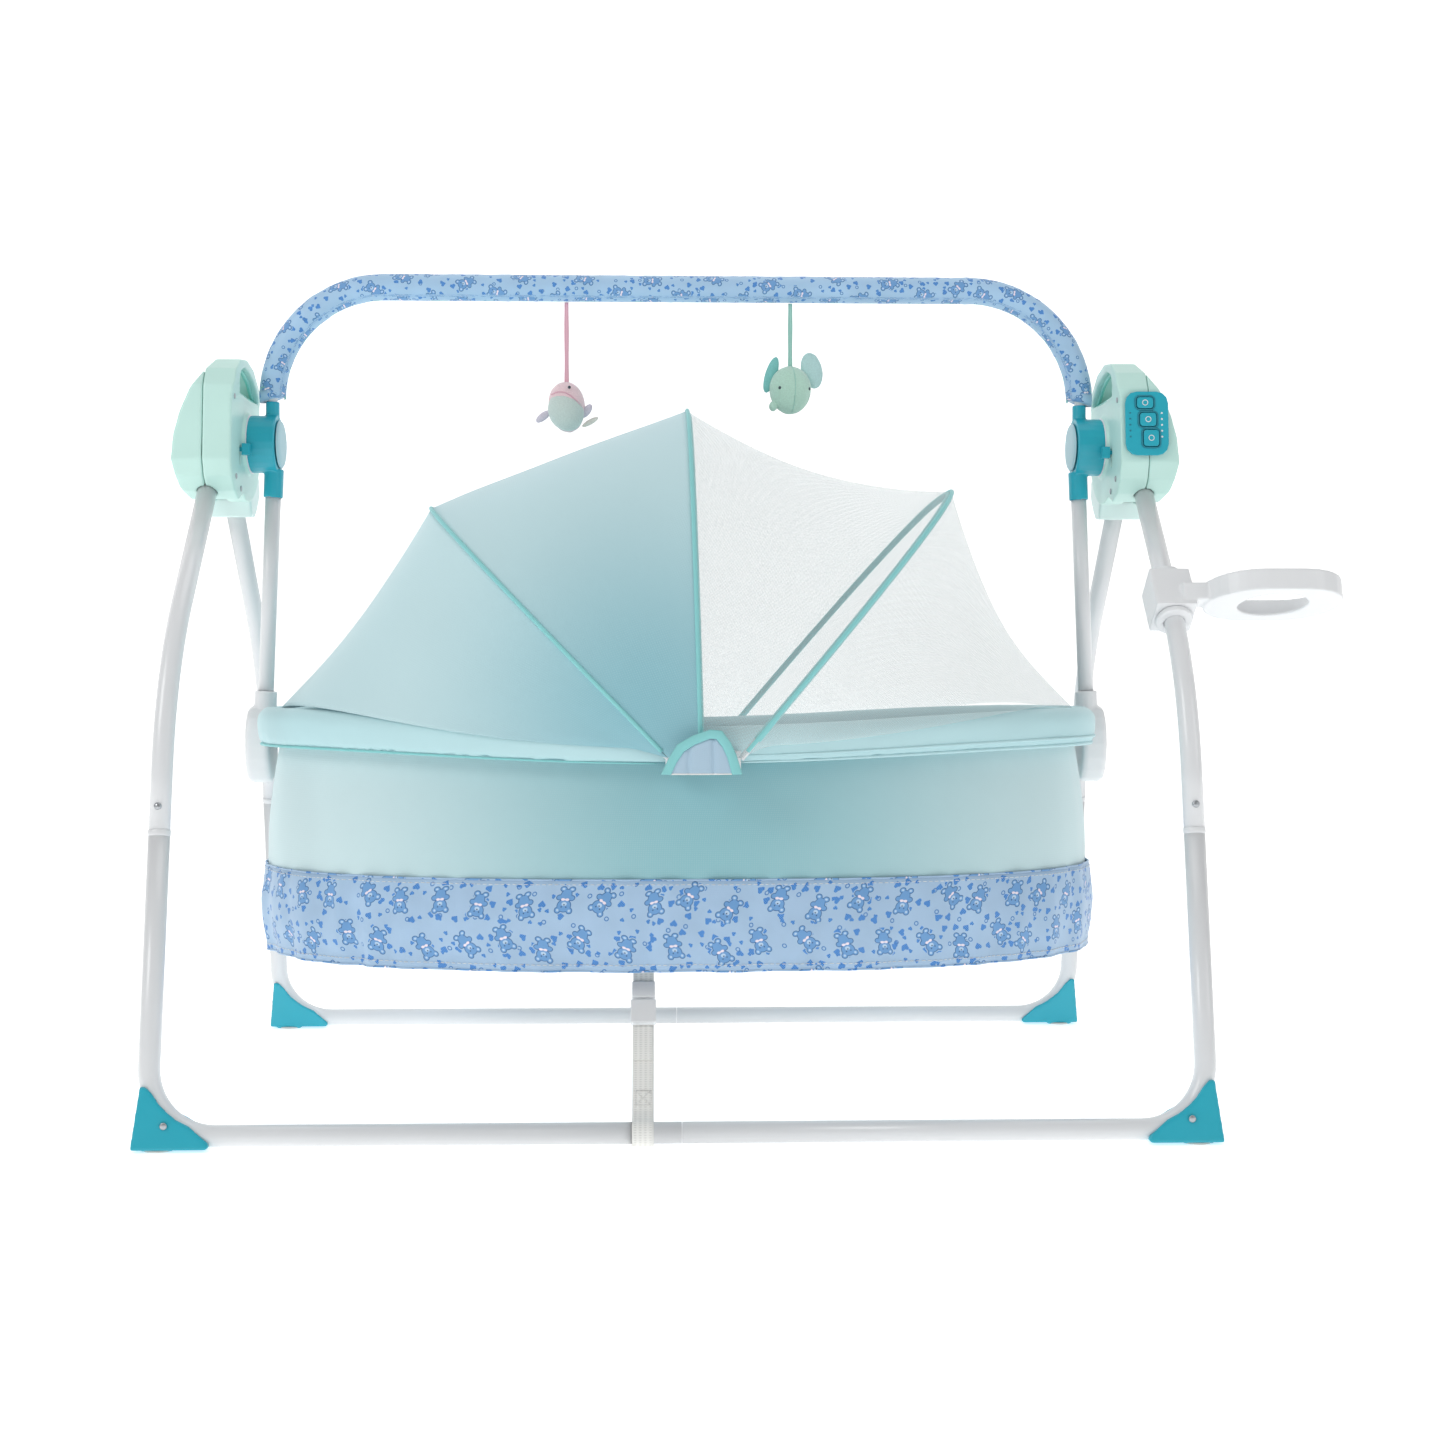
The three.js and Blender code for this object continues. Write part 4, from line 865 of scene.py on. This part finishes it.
def make_cradle():
    tube = [ring_point(i / 160, 0, RIM_Z) for i in range(160)]
    wire = sweep("rim_wire", tube, 7, 16, closed=True, up=(0, 0, 1))
    finished(wire, "steel", "swing", "rim_tube")
    make_roll()

    def wall(v):
        return (-10 + 14 * math.sin(math.pi / 2 * min(1, v * 1.2)) - 1.5 * v, 368 - 146 * v)

    def wrinkle(u, v):
        broad = 0.5 * math.sin(math.pi * v) * gathers(u, 24, 3, 1.0)
        return broad + 0.6 * (1 - v) ** 3 * gathers(u, 70, 1, 0.6)
    outer = ring_band("basket_wall", wall, wrinkle, rows=18)
    finished(outer, "wall_fabric", "swing", "basket")

    def inside(v):
        return (-13 - 22 * v ** 3, 372 - 200 * v)

    def slack(u, v):
        return 0.8 * math.sin(math.pi * v) * gathers(u, 30, 8, 1.0)
    lining = ring_band("basket_lining", inside, slack, rows=16)
    finished(lining, "liner", "swing")
    base = sheet_grid("basket_base", lambda u, v: ring_point(u, -20 - 228 * v, 156), 6, 120, 3.0, closed=True)
    finished(base, "liner", "swing")

    pad = turned_pad()
    finished(pad, "liner", "swing", "mattress")
    for i, grow in enumerate((-39.5, -38.2)):
        welt = [ring_point(k / 120, grow, 186.5 - 23 * i) for k in range(120)]
        finished(sweep(f"mattress_piping_{i}", welt, 1.6, 8, closed=True, up=(0, 0, 1)), "piping", "swing")

    def skirt(v):
        return (5.5 + 3.6 * math.sin(math.pi * min(1, v * 1.15)) - 2.5 * v ** 3, 239 - 87 * v)

    def flutter(u, v):
        fine = gathers(u, 54, 11, 1.5) * (0.9 - 0.4 * v)
        broad = gathers(u, 21, 31, 3.6) * (0.25 + 0.75 * v)
        return fine + broad + 1.2 * noise.noise(Vector((u * 60, v * 4, 9)))
    cloth_band = ring_band("skirt_cloth", skirt, flutter, columns=620, rows=18, thickness=1.0)
    finished(cloth_band, "print_fabric", "swing", "basket_skirt")
    for name, v, size in (("skirt_top_edge", 0.0, 1.0), ("skirt_hem_edge", 1.0, 1.1)):
        grow, z = skirt(v)
        line = [ring_point(k / 620, grow, z, flutter(k / 620, v)) for k in range(620)]
        finished(sweep(name, line, size, 8, closed=True, up=(0, 0, 1)), "print_fabric", "swing")
    for name, v in (("skirt_top_stitch", 0.05), ("skirt_hem_stitch", 0.93)):
        grow, z = skirt(v)
        stitch_run(name, lambda s: ring_point(s, grow + 0.8, z, flutter(s, v)), 400)


def stitch_run(name, place, count):
    """A row of short stitches on the cradle along place(share)."""
    pieces = []
    for k in range(count):
        a, b = Vector(place(k / count)), Vector(place((k + 0.62) / count))
        rise = (a + b) / 2 + (a + b).normalized() * 0.25
        pieces.append(sweep(f"{name}_{k}", [a, rise, b], 0.32, 5))
    finished(joined(name, pieces), "thread", "swing")


def turned_pad():
    """The mattress: a thick oval pad with a crowned top."""
    profile = [(-250, 190), (-120, 190), (-60, 188), (-44, 183),
               (-40, 175), (-42, 165), (-48, 159), (-250, 159)]
    rows = len(profile) - 1

    def at(u, v):
        grow, z = profile[round(v * rows)]
        return ring_point(u, max(grow, -249), z)
    pad = sheet_grid("mattress_pad", at, rows, 120, closed=True)
    outward(pad)
    fill = bmesh.new()
    fill.from_mesh(pad.data)
    bmesh.ops.holes_fill(fill, edges=[e for e in fill.edges if e.is_boundary])
    fill.to_mesh(pad.data)
    fill.free()
    outward(pad)
    return puffed(pad, 7, 2.5, 4)


def gathered(share):
    """How strongly the hem is gathered: elastic runs round the head end."""
    x = oval(turn_at(share))[0]
    return max(0.0, min(1.0, (-x - 60) / 150))


def make_roll():
    """The padded rim cover: a swollen roll, pulled in to a hem that elastic gathers at the head end."""
    top = [(ROLL_R * 0.93 * math.cos(math.pi * k / 10), RIM_Z + ROLL_R * 0.93 * math.sin(math.pi * k / 10))
           for k in range(11)]
    outside = [(7.5, HEM_Z - 1), (11.5, HEM_Z + 4), (13.2, HEM_Z + 14)]
    inside = [(-13.2, RIM_Z - 9), (-10, RIM_Z - 14), (0, RIM_Z - 15), (6, HEM_Z + 4)]
    section = outside + top + inside
    count, columns = len(section), 420

    def at(u, v):
        k = round(v * count) % count
        grow, z = section[k]
        low = max(0.0, 1 - abs(z - HEM_Z) / 16)
        pucker = gathers(u, 120, 21, 0.9) * low * gathered(u)
        soft = 0.7 * noise.noise(Vector((math.cos(u * 6.28) * 7, math.sin(u * 6.28) * 7, z * 0.08)))
        return ring_point(u, grow + pucker + soft, z)
    points = [at(j / columns, k / count) for k in range(count) for j in range(columns)]
    faces = []
    for k in range(count):
        for j in range(columns):
            a, b = k * columns + j, k * columns + (j + 1) % columns
            c, d = ((k + 1) % count) * columns + (j + 1) % columns, ((k + 1) % count) * columns + j
            faces.append((a, b, c, d))
    roll = outward(mm_mesh("rim_roll", points, faces))
    roll = puffed(roll, 4.0, 2.5, 3, pinned=lambda p: p[2] + sink(p[0], p[2]) < HEM_Z + 7)
    finished(roll, "roll_fabric", "swing", "rim_cover")
    for name, first, last, z, grow, size in (
        ("hem_elastic", 0.26, 0.74, HEM_Z + 0.5, 9.2, 1.5),
        ("hem_fold_low", -0.24, 0.24, HEM_Z + 1.5, 9.6, 1.9),
        ("hem_fold_high", -0.235, 0.235, HEM_Z + 8.5, 12.6, 1.6),
    ):
        steps = 260
        line = []
        for k in range(steps + 1):
            share = first + (last - first) * k / steps
            line.append(ring_point(share, grow, z, gathers(share, 120, 21, 0.9) * gathered(share)))
        taper = lambda share: size * (0.25 + 0.75 * math.sin(math.pi * share) ** 0.5)
        look = "piping" if name == "hem_elastic" else "roll_fabric"
        finished(sweep(name, line, taper, 8, up=(0, 0, 1)), look, "swing")


POCKET_RIM = ((-19, 341), (-12, 356), (-4, 369), (10, 377), (26, 382.5),
              (37, 381.5), (45.4, 370), (50, 360), (56, 341))
POCKET_FACE = ((-10, 341), (-5, 352), (2, 362.5), (12, 369), (26, 374.5),
               (32, 374), (38, 366), (42, 357), (46.5, 341))
POCKET_LOW = POCKET_FACE[0][1]


def make_pockets():
    """Sewn pockets over the feet of the hoops: a pleated face in a flat binding."""
    def depth(x, lift):
        crown = 3.5 * (1 - ((x - 18) / 38) ** 2)
        pleats = sum(math.exp(-((x - fold) / 2.2) ** 2) for fold in (6, 29))
        return 297 + crown + lift - 1.8 * pleats * (lift < 0.5)

    rim = [Vector((x, 0, z)) for x, z in POCKET_RIM]
    seam = [Vector((x, 0, z)) for x, z in POCKET_FACE]

    def along(line, u):
        place = u * (len(line) - 1)
        k = min(int(place), len(line) - 2)
        return line[k].lerp(line[k + 1], place - k)
    for name, end in (("front", -1), ("rear", 1)):
        def face(u, v):
            top = along(seam, u)
            return (top.x, end * depth(top.x, 0.0), POCKET_LOW + (top.z - POCKET_LOW) * v)

        def binding(u, v):
            spot = along(rim, u).lerp(along(seam, u), v)
            return (spot.x, end * depth(spot.x, 0.8 + 0.9 * math.sin(math.pi * v)), spot.z)
        finished(sheet_grid(f"pocket_{name}_face", face, 12, 64, 1.0), "pleat", "swing", f"pocket_{name}")
        finished(sheet_grid(f"pocket_{name}_binding", binding, 6, 64, 1.2), "piping", "swing")
        places = [-10 + 56.5 * k / 24 for k in range(25)]
        low = [(x, end * (depth(x, 0.0) + 0.4), 341.4) for x in places]
        finished(sweep(f"pocket_{name}_hem", low, 0.7, 6), "thread", "swing")
        refined(f"canopy_bracket_{name}", "white_plastic", 1.2, 2)


# ---- Canopy -------------------------------------------------------------------------------------
def hoop_point(rib, share, out=0.0, across=0.0):
    """A point of a hoop at a share of its turn from the front foot to the rear one."""
    facts = RIBS[rib]
    foot = Vector((facts["foot_x"], 0, RIB_FOOT_Z))
    rise = Vector((facts["apex"][0], 0, facts["apex"][1])) - foot
    height = rise.length
    up = rise.normalized()
    sideways = Vector((up.z, 0, -up.x))
    turn = math.pi * share
    c, s = math.cos(turn), max(0.0, math.sin(turn))
    y = -facts["half"] * signed_power(c, 2 / RIB_POWER)
    lift = height * s ** (2 / RIB_POWER)
    n = Vector((signed_power(y / facts["half"], RIB_POWER - 1) / facts["half"],
                (lift / height) ** (RIB_POWER - 1) / height)).normalized()
    return foot + up * (lift + n.y * out) + sideways * across + Vector((0, y + n.x * out, 0))


def rim_edge(side, share, foot_turn):
    """Where a canopy panel meets the padded rim, from the front foot round an end to the rear one."""
    turn = foot_turn + (math.pi - 2 * foot_turn) * share
    c, s = math.cos(turn), math.sin(turn)
    x = side * RIM_A * signed_power(s, 0.8)
    y = -RIM_B * signed_power(c, 0.8)
    slope_x = side * abs(x / RIM_A) ** 1.5 / RIM_A
    out = Vector((slope_x, math.copysign(abs(y / RIM_B) ** 1.5, y) / RIM_B)).normalized()
    around = math.radians(-25 + 160 * s ** 2)
    reach = (ROLL_R + 1.5) * math.cos(around)
    z = RIM_Z - sink(x, RIM_Z) + (ROLL_R + 1.5) * math.sin(around)
    return Vector((x + out.x * reach, y + out.y * reach, z))


def panel_point(first, second, sag, wrinkle, u, v, seed):
    low, high = PANEL_SPAN
    share = 0.5 - 0.5 * math.cos(math.pi * (low + (high - low) * v))
    a, b = Vector(first(share)), Vector(second(share))
    point = a.lerp(b, u)
    centre = Vector((point.x * 0.4 + 12, 0, RIB_FOOT_Z))
    inward = (centre - point).normalized()
    tension = 4 * u * (1 - u)
    arch = math.sin(math.pi * share)
    drift = noise.noise(Vector((u * 2.2, v * 7.0, seed)))
    crease = noise.noise(Vector((u * 2.5, v * 9.0, seed + 9)))
    depth = sag * tension * arch + wrinkle * (crease * 0.8 + drift * 1.6 * arch) * min(1, tension * 2)
    return tuple(point + inward * depth)


def make_canopy():
    hoops = list(RIBS)
    for i, body in enumerate(hoops, 1):
        line = [hoop_point(body, 0.5 - 0.5 * math.cos(math.pi * k / 90)) for k in range(91)]
        finished(sweep(f"hoop_{i}_wire", line, RIB_R, 14), "white_steel", body, f"canopy_rib_{i}")
        channel = [hoop_point(body, 0.5 - 0.5 * math.cos(math.pi * (0.04 + 0.92 * k / 130)), CLOTH_OUT + 0.8)
                   for k in range(131)]
        finished(sweep(f"hoop_{i}_piping", channel, 2.1, 12), "piping", body)
        casing = [hoop_point(body, 0.5 - 0.5 * math.cos(math.pi * (0.07 + 0.86 * k / 90))) for k in range(91)]
        finished(sweep(f"hoop_{i}_casing", casing, RIB_R + 0.7, 14), "piping", body)
    left = lambda share: rim_edge(-1, share, 0.06)
    right = lambda share: rim_edge(1, share, 0.12)
    edge = lambda rib, across: lambda share: hoop_point(rib, share, CLOTH_OUT, across)
    head, top, foot = hoops
    panels = (
        ("canopy_head_cloth", left, edge(head, -0.3), 9, 1.2, "aqua_fabric", "canopy_head_panel"),
        ("canopy_top_cloth", edge(head, 0.3), edge(top, -0.3), -2, 1.0, "aqua_fabric", "canopy_top_panel"),
        ("canopy_net", edge(top, 0.3), edge(foot, -0.3), 23, 1.1, "net_fabric", "canopy_net_panel"),
        ("canopy_foot_netting", edge(foot, 0.3), right, 21, 1.1, "net_fabric", "canopy_foot_net"),
    )
    made = {}
    for seed, (name, first, second, sag, wrinkle, look, node) in enumerate(panels):
        at = lambda u, v: panel_point(first, second, sag, wrinkle, u, v, seed)
        thick = 0.7 if look == "aqua_fabric" else 0.0
        made[name] = finished(sheet_grid(name, at, 150, 40, thick), look, None, node)
    pin = lambda name: Vector((CENTRE_X * MM, 0, 0)) + Vector(name) * MM
    apex = {body: Vector((RIBS[body]["apex"][0], 0, RIBS[body]["apex"][1])) for body in hoops}
    rim_end = Vector((-425, 0, 395))
    for name, pair, start, end in (
        ("canopy_head_cloth", ("swing", head), rim_end, apex[head]),
        ("canopy_top_cloth", (head, top), apex[head], apex[top]),
        ("canopy_net", (top, foot), apex[top], apex[foot]),
    ):
        low, high = start.lerp(end, 0.14), start.lerp(end, 0.86)
        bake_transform(made[name], *pair, start=tuple(pin(low)), end=tuple(pin(high)))
    net = made["canopy_foot_netting"]
    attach(net, foot)
    tuple(pin(apex[foot]))
    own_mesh(net)


# ---- Toy bar ------------------------------------------------------------------------------------
def make_toy_bar():
    line = lambda foot: bent([(SOCKET_X, 0, foot), (SOCKET_X, 0, BAR_TOP), (-SOCKET_X, 0, BAR_TOP),
                              (-SOCKET_X, 0, foot)], [BAR_BEND, BAR_BEND], 26)
    finished(sweep("toy_bar_tube", line(BAR_FOOT), BAR_R, 20), "white_steel", "toy_bar", "toy_bar")
    fine = resampled(line(SLEEVE_FOOT), 4.0)

    def radius(share):
        broad, fine_folds = noise.noise(Vector((share * 60, 2, 0))), noise.noise(Vector((share * 190, 7, 0)))
        return SLEEVE_R + 0.5 * broad + 0.35 * fine_folds
    sleeve = sweep("toy_bar_sleeve", fine, radius, 28)
    finished(sleeve, "sleeve_print", "toy_bar", "toy_bar_cover")
    seam = [Vector(p) + Vector((0, -1, 0)) * (SLEEVE_R - 0.9) for p in fine]
    under = [s + Vector((0, 13.4, 0)) + down(s) for s in seam]
    finished(sweep("sleeve_seam", under, 1.0, 6), "piping", "toy_bar")
    for hand, index in (("right", 1), ("left", -2)):
        cuff = [fine[index] + Vector((0, 0, k)) for k in (0, 4, 8)]
        finished(sweep(f"sleeve_cuff_{hand}", cuff, SLEEVE_R - 0.4, 28), "piping", "toy_bar")
    make_whale("whale", "whale_toy", -TOY_X)
    make_elephant("elephant", "elephant_toy", TOY_X)


def down(point):
    """The under side of the sleeve at a point of its front seam."""
    inner = Vector((0, point.y, BAR_TOP - BAR_BEND))
    inner.x = max(-SOCKET_X + BAR_BEND, min(SOCKET_X - BAR_BEND, point.x))
    if point.z < inner.z:
        return Vector((-math.copysign(SLEEVE_R - 0.9, point.x), 0, 0))
    return (inner - point).normalized() * (SLEEVE_R - 0.9)


def resampled(points, step):
    points = [Vector(p) for p in points]
    made = [points[0]]
    for a, b in zip(points, points[1:]):
        parts = max(1, round((b - a).length / step))
        made += [a.lerp(b, (k + 1) / parts) for k in range(parts)]
    return made


def blob(name, at, size, look, body, *nodes, pinch=None, lean=0.0, rings=28, sides=36):
    """A stuffed ellipsoid whose radius pinch(direction) may change, leaning to +X by lean degrees."""
    tip = Matrix.Rotation(math.radians(lean), 3, "Y")
    points, faces = [], []
    for i in range(rings + 1):
        lat = math.pi * i / rings - math.pi / 2
        for k in range(sides):
            turn = 2 * math.pi * k / sides
            way = Vector((math.cos(lat) * math.cos(turn), math.cos(lat) * math.sin(turn), math.sin(lat)))
            swell = (pinch(way) if pinch else 1.0) * (1 + 0.02 * noise.noise(way * 3 + Vector(at)))
            offset = Vector((way.x * size[0], way.y * size[1], way.z * size[2])) * swell
            points.append(tuple(Vector(at) + tip @ offset))
    for i in range(rings):
        for k in range(sides):
            n = (k + 1) % sides
            faces.append((i * sides + k, i * sides + n, (i + 1) * sides + n, (i + 1) * sides + k))
    obj = mm_mesh(name, points, faces)
    outward(obj)
    return finished(obj, look, body, *nodes)


def ribbon(name, x, low, high, look, body):
    def at(u, v):
        z = low + (high - low) * v
        return (x + 2.5 * (2 * u - 1) * math.cos(0.5 * math.sin(v * 5)), 0.8 * math.sin(v * 5), z)
    return finished(sheet_grid(name, at, 30, 4, 0.8), look, body)


def bead(name, at, aim, size, look, body):
    profile = [(0.01, -0.6), (size, -0.4), (size, 0.3), (size * 0.6, 0.9), (0, 1.0)]
    finished(turned_solid(name, profile, at, aim, 18), look, body)


def make_whale(body, node, x):
    """A stuffed whale that hangs head up, half turned: pink back, pale belly, two fins and a small tail."""
    taper = lambda way: 1.0 - 0.16 * max(0, way.z) ** 2
    blob("whale_body", (x, 0, 723.5), (19.5, 15, 29.5), "pink_plush", body, node, pinch=taper, lean=-7)
    blob("whale_belly", (x - 0.5, -4.2, 716.5), (18.8, 13.6, 22), "pink_belly", body, lean=-24)
    blob("whale_fin_left", (x - 25, -1, 711), (4.2, 2.4, 9.5), "lilac_plush", body, lean=52)
    blob("whale_fin_right", (x + 21.5, -2, 717), (4.4, 2.4, 8.5), "lilac_plush", body, lean=35)
    blob("whale_tail", (x + 25, 4, 706), (3.0, 2.2, 10), "cream_plush", body, lean=60)
    bead("whale_eye", (x + 3.5, -13.2, 740.5), (0.15, -0.95, 0.3), 1.7, "dark_thread", body)
    lip = []
    for k in range(25):
        across = -16 + 33 * k / 24
        z = 735.5 - 0.028 * (across + 7) ** 2
        round_off = max(0.0, 1 - (across / 19.5) ** 2 - ((z - 723.5) / 29.5) ** 2)
        lip.append((x + across, -15.3 * math.sqrt(round_off) - 0.6, z))
    finished(sweep("whale_lip", lip, 0.6, 6), "pink_ribbon", body)
    ribbon("whale_ribbon", x, 744, TOY_PIVOT, "pink_ribbon", body)


def make_elephant(body, node, x):
    """A stuffed elephant head, half turned: egg-shaped, with a seam down its face and two round ears."""
    egg = lambda way: 1.0 - 0.2 * max(0, way.z) ** 1.4 + 0.03 * max(0, -way.z)
    blob("elephant_head", (x, 0, 743.5), (22.5, 17, 28), "mint_plush", body, node, pinch=egg)
    flat = lambda way: 1.0 - 0.12 * max(0, -way.y)
    blob("elephant_ear_left", (x - 20.5, 1, 757), (6.5, 3.6, 20), "ear_plush", body, pinch=flat, lean=17)
    blob("elephant_ear_right", (x + 23.5, 3, 762), (11.5, 3.2, 19.5), "pale_ear_plush", body,
         pinch=flat, lean=-12)
    blob("elephant_trunk", (x - 18.5, -5, 722.5), (4.6, 4.2, 5.5), "mint_plush", body, lean=8)
    for hand, turn in (("left", -33), ("right", 66)):
        a = math.radians(turn)
        out = Vector((22.2 * math.sin(a), -16.8 * math.cos(a), 0))
        bead(f"elephant_eye_{hand}", tuple(Vector((x, 0, 741)) + out), tuple(out), 1.7, "dark_thread", body)
    seam = []
    for k in range(31):
        up = math.radians(-75 + 150 * k / 30)
        thin = egg(Vector((0, 0, math.sin(up))))
        seam.append((x + 22.6 * thin * math.cos(up) * 0.2, -17.0 * thin * math.cos(up) * 0.985,
                     743.5 + 28.1 * thin * math.sin(up)))
    finished(sweep("elephant_seam", seam, 0.35, 6), "green_ribbon", body)
    ribbon("elephant_ribbon", x, 761, TOY_PIVOT, "green_ribbon", body)


# ---- Tray and strap -----------------------------------------------------------------------------
CLAMP_AT = Vector((LEG_X, -163.5, 508.6))


def make_tray():
    refined("tray", "white_plastic", 1.2, 6)
    refined("tray_clamp", "white_plastic", 1.2, 6)
    top_y, top_z = LEG_TOPS["front"]
    leg = Vector((0, -(LEG_CORNER_Y - top_y), LEG_CORNER_Z - top_z)).normalized()
    for k, reach in enumerate((-12, 12)):
        at = CLAMP_AT + leg * reach + Vector((0, -19.5, 0)) * 1.05
        finished(screw(f"tray_screw_{k}", tuple(at), (0, -1, -0.2), 3.0), "steel", "tray")


def on_strap(across, along, out):
    """A point in the strap's own frame: along it from the floor tube, and out of its front face."""
    c, s = math.cos(STRAP_ANGLE), math.sin(STRAP_ANGLE)
    return (STRAP_X + across, -FLOOR_Y + along * c - out * s, FLOOR_Z + along * s + out * c)


STRAP_LOOP_R = 11.9


def make_strap():
    loop = []
    for k in range(40):
        turn = math.pi * (0.16 + 1.68 * k / 39)
        loop.append((STRAP_LOOP_R * math.cos(turn), STRAP_LOOP_R * math.sin(turn)))
    path = [(106, 0.9)] + [(20, 1.3)] + loop + [(20, -1.3), (98, -1.2)]
    web_ribbon("strap_web", path, 10, "lock_strap", "lock_strap")
    tail = [(104, 2.6), (90, 3.2), (76, 3.4), (70, 2.6)]
    web_ribbon("strap_tail", tail, 9.6, "lock_strap")
    box_stitch("strap_stitch", 26, 40, "lock_strap")
    refined("buckle_socket", "white_plastic", 0.6, 5)
    refined("buckle_plug", "white_plastic", 0.6, 5)
    upper = [(150, 0.6), (160, 1.2), (172, 0.4)]
    web_ribbon("upper_web", upper, 10, "swing")


def web_ribbon(name, path, half, body, *nodes):
    """Flat webbing of a given half-width along (along, out) pairs of the strap's frame."""
    flat = resampled([Vector((a, o, 0)) for a, o in path], 1.5)

    def at(u, v):
        spot = flat[min(len(flat) - 1, round(v * (len(flat) - 1)))]
        return on_strap((2 * u - 1) * half, spot.x, spot.y)
    return finished(sheet_grid(name, at, len(flat) - 1, 8, 1.3), "webbing", body, *nodes)


def box_stitch(name, low, high, body):
    corners = [(-7, low), (7, low), (7, high), (-7, high), (-7, low), (7, high), (-7, high), (7, low)]
    pieces = []
    for i, (a, b) in enumerate(zip(corners, corners[1:])):
        for k in range(6):
            start = Vector(a).lerp(Vector(b), k / 6)
            stop = Vector(a).lerp(Vector(b), (k + 0.6) / 6)
            line = [on_strap(start.x, start.y, 2.2), on_strap(stop.x, stop.y, 2.2)]
            pieces.append(sweep(f"{name}_{i}_{k}", line, 0.35, 5))
    finished(joined(name, pieces), "thread", body)


def make_axles():
    for node in ("axle_left", "axle_right"):
        refined(node, "steel", 0.8, 2)


make_stage()
make_legs()
make_housings()
make_panel()
make_axles()
make_cradle()
make_pockets()
make_canopy()
make_toy_bar()
make_tray()
make_strap()
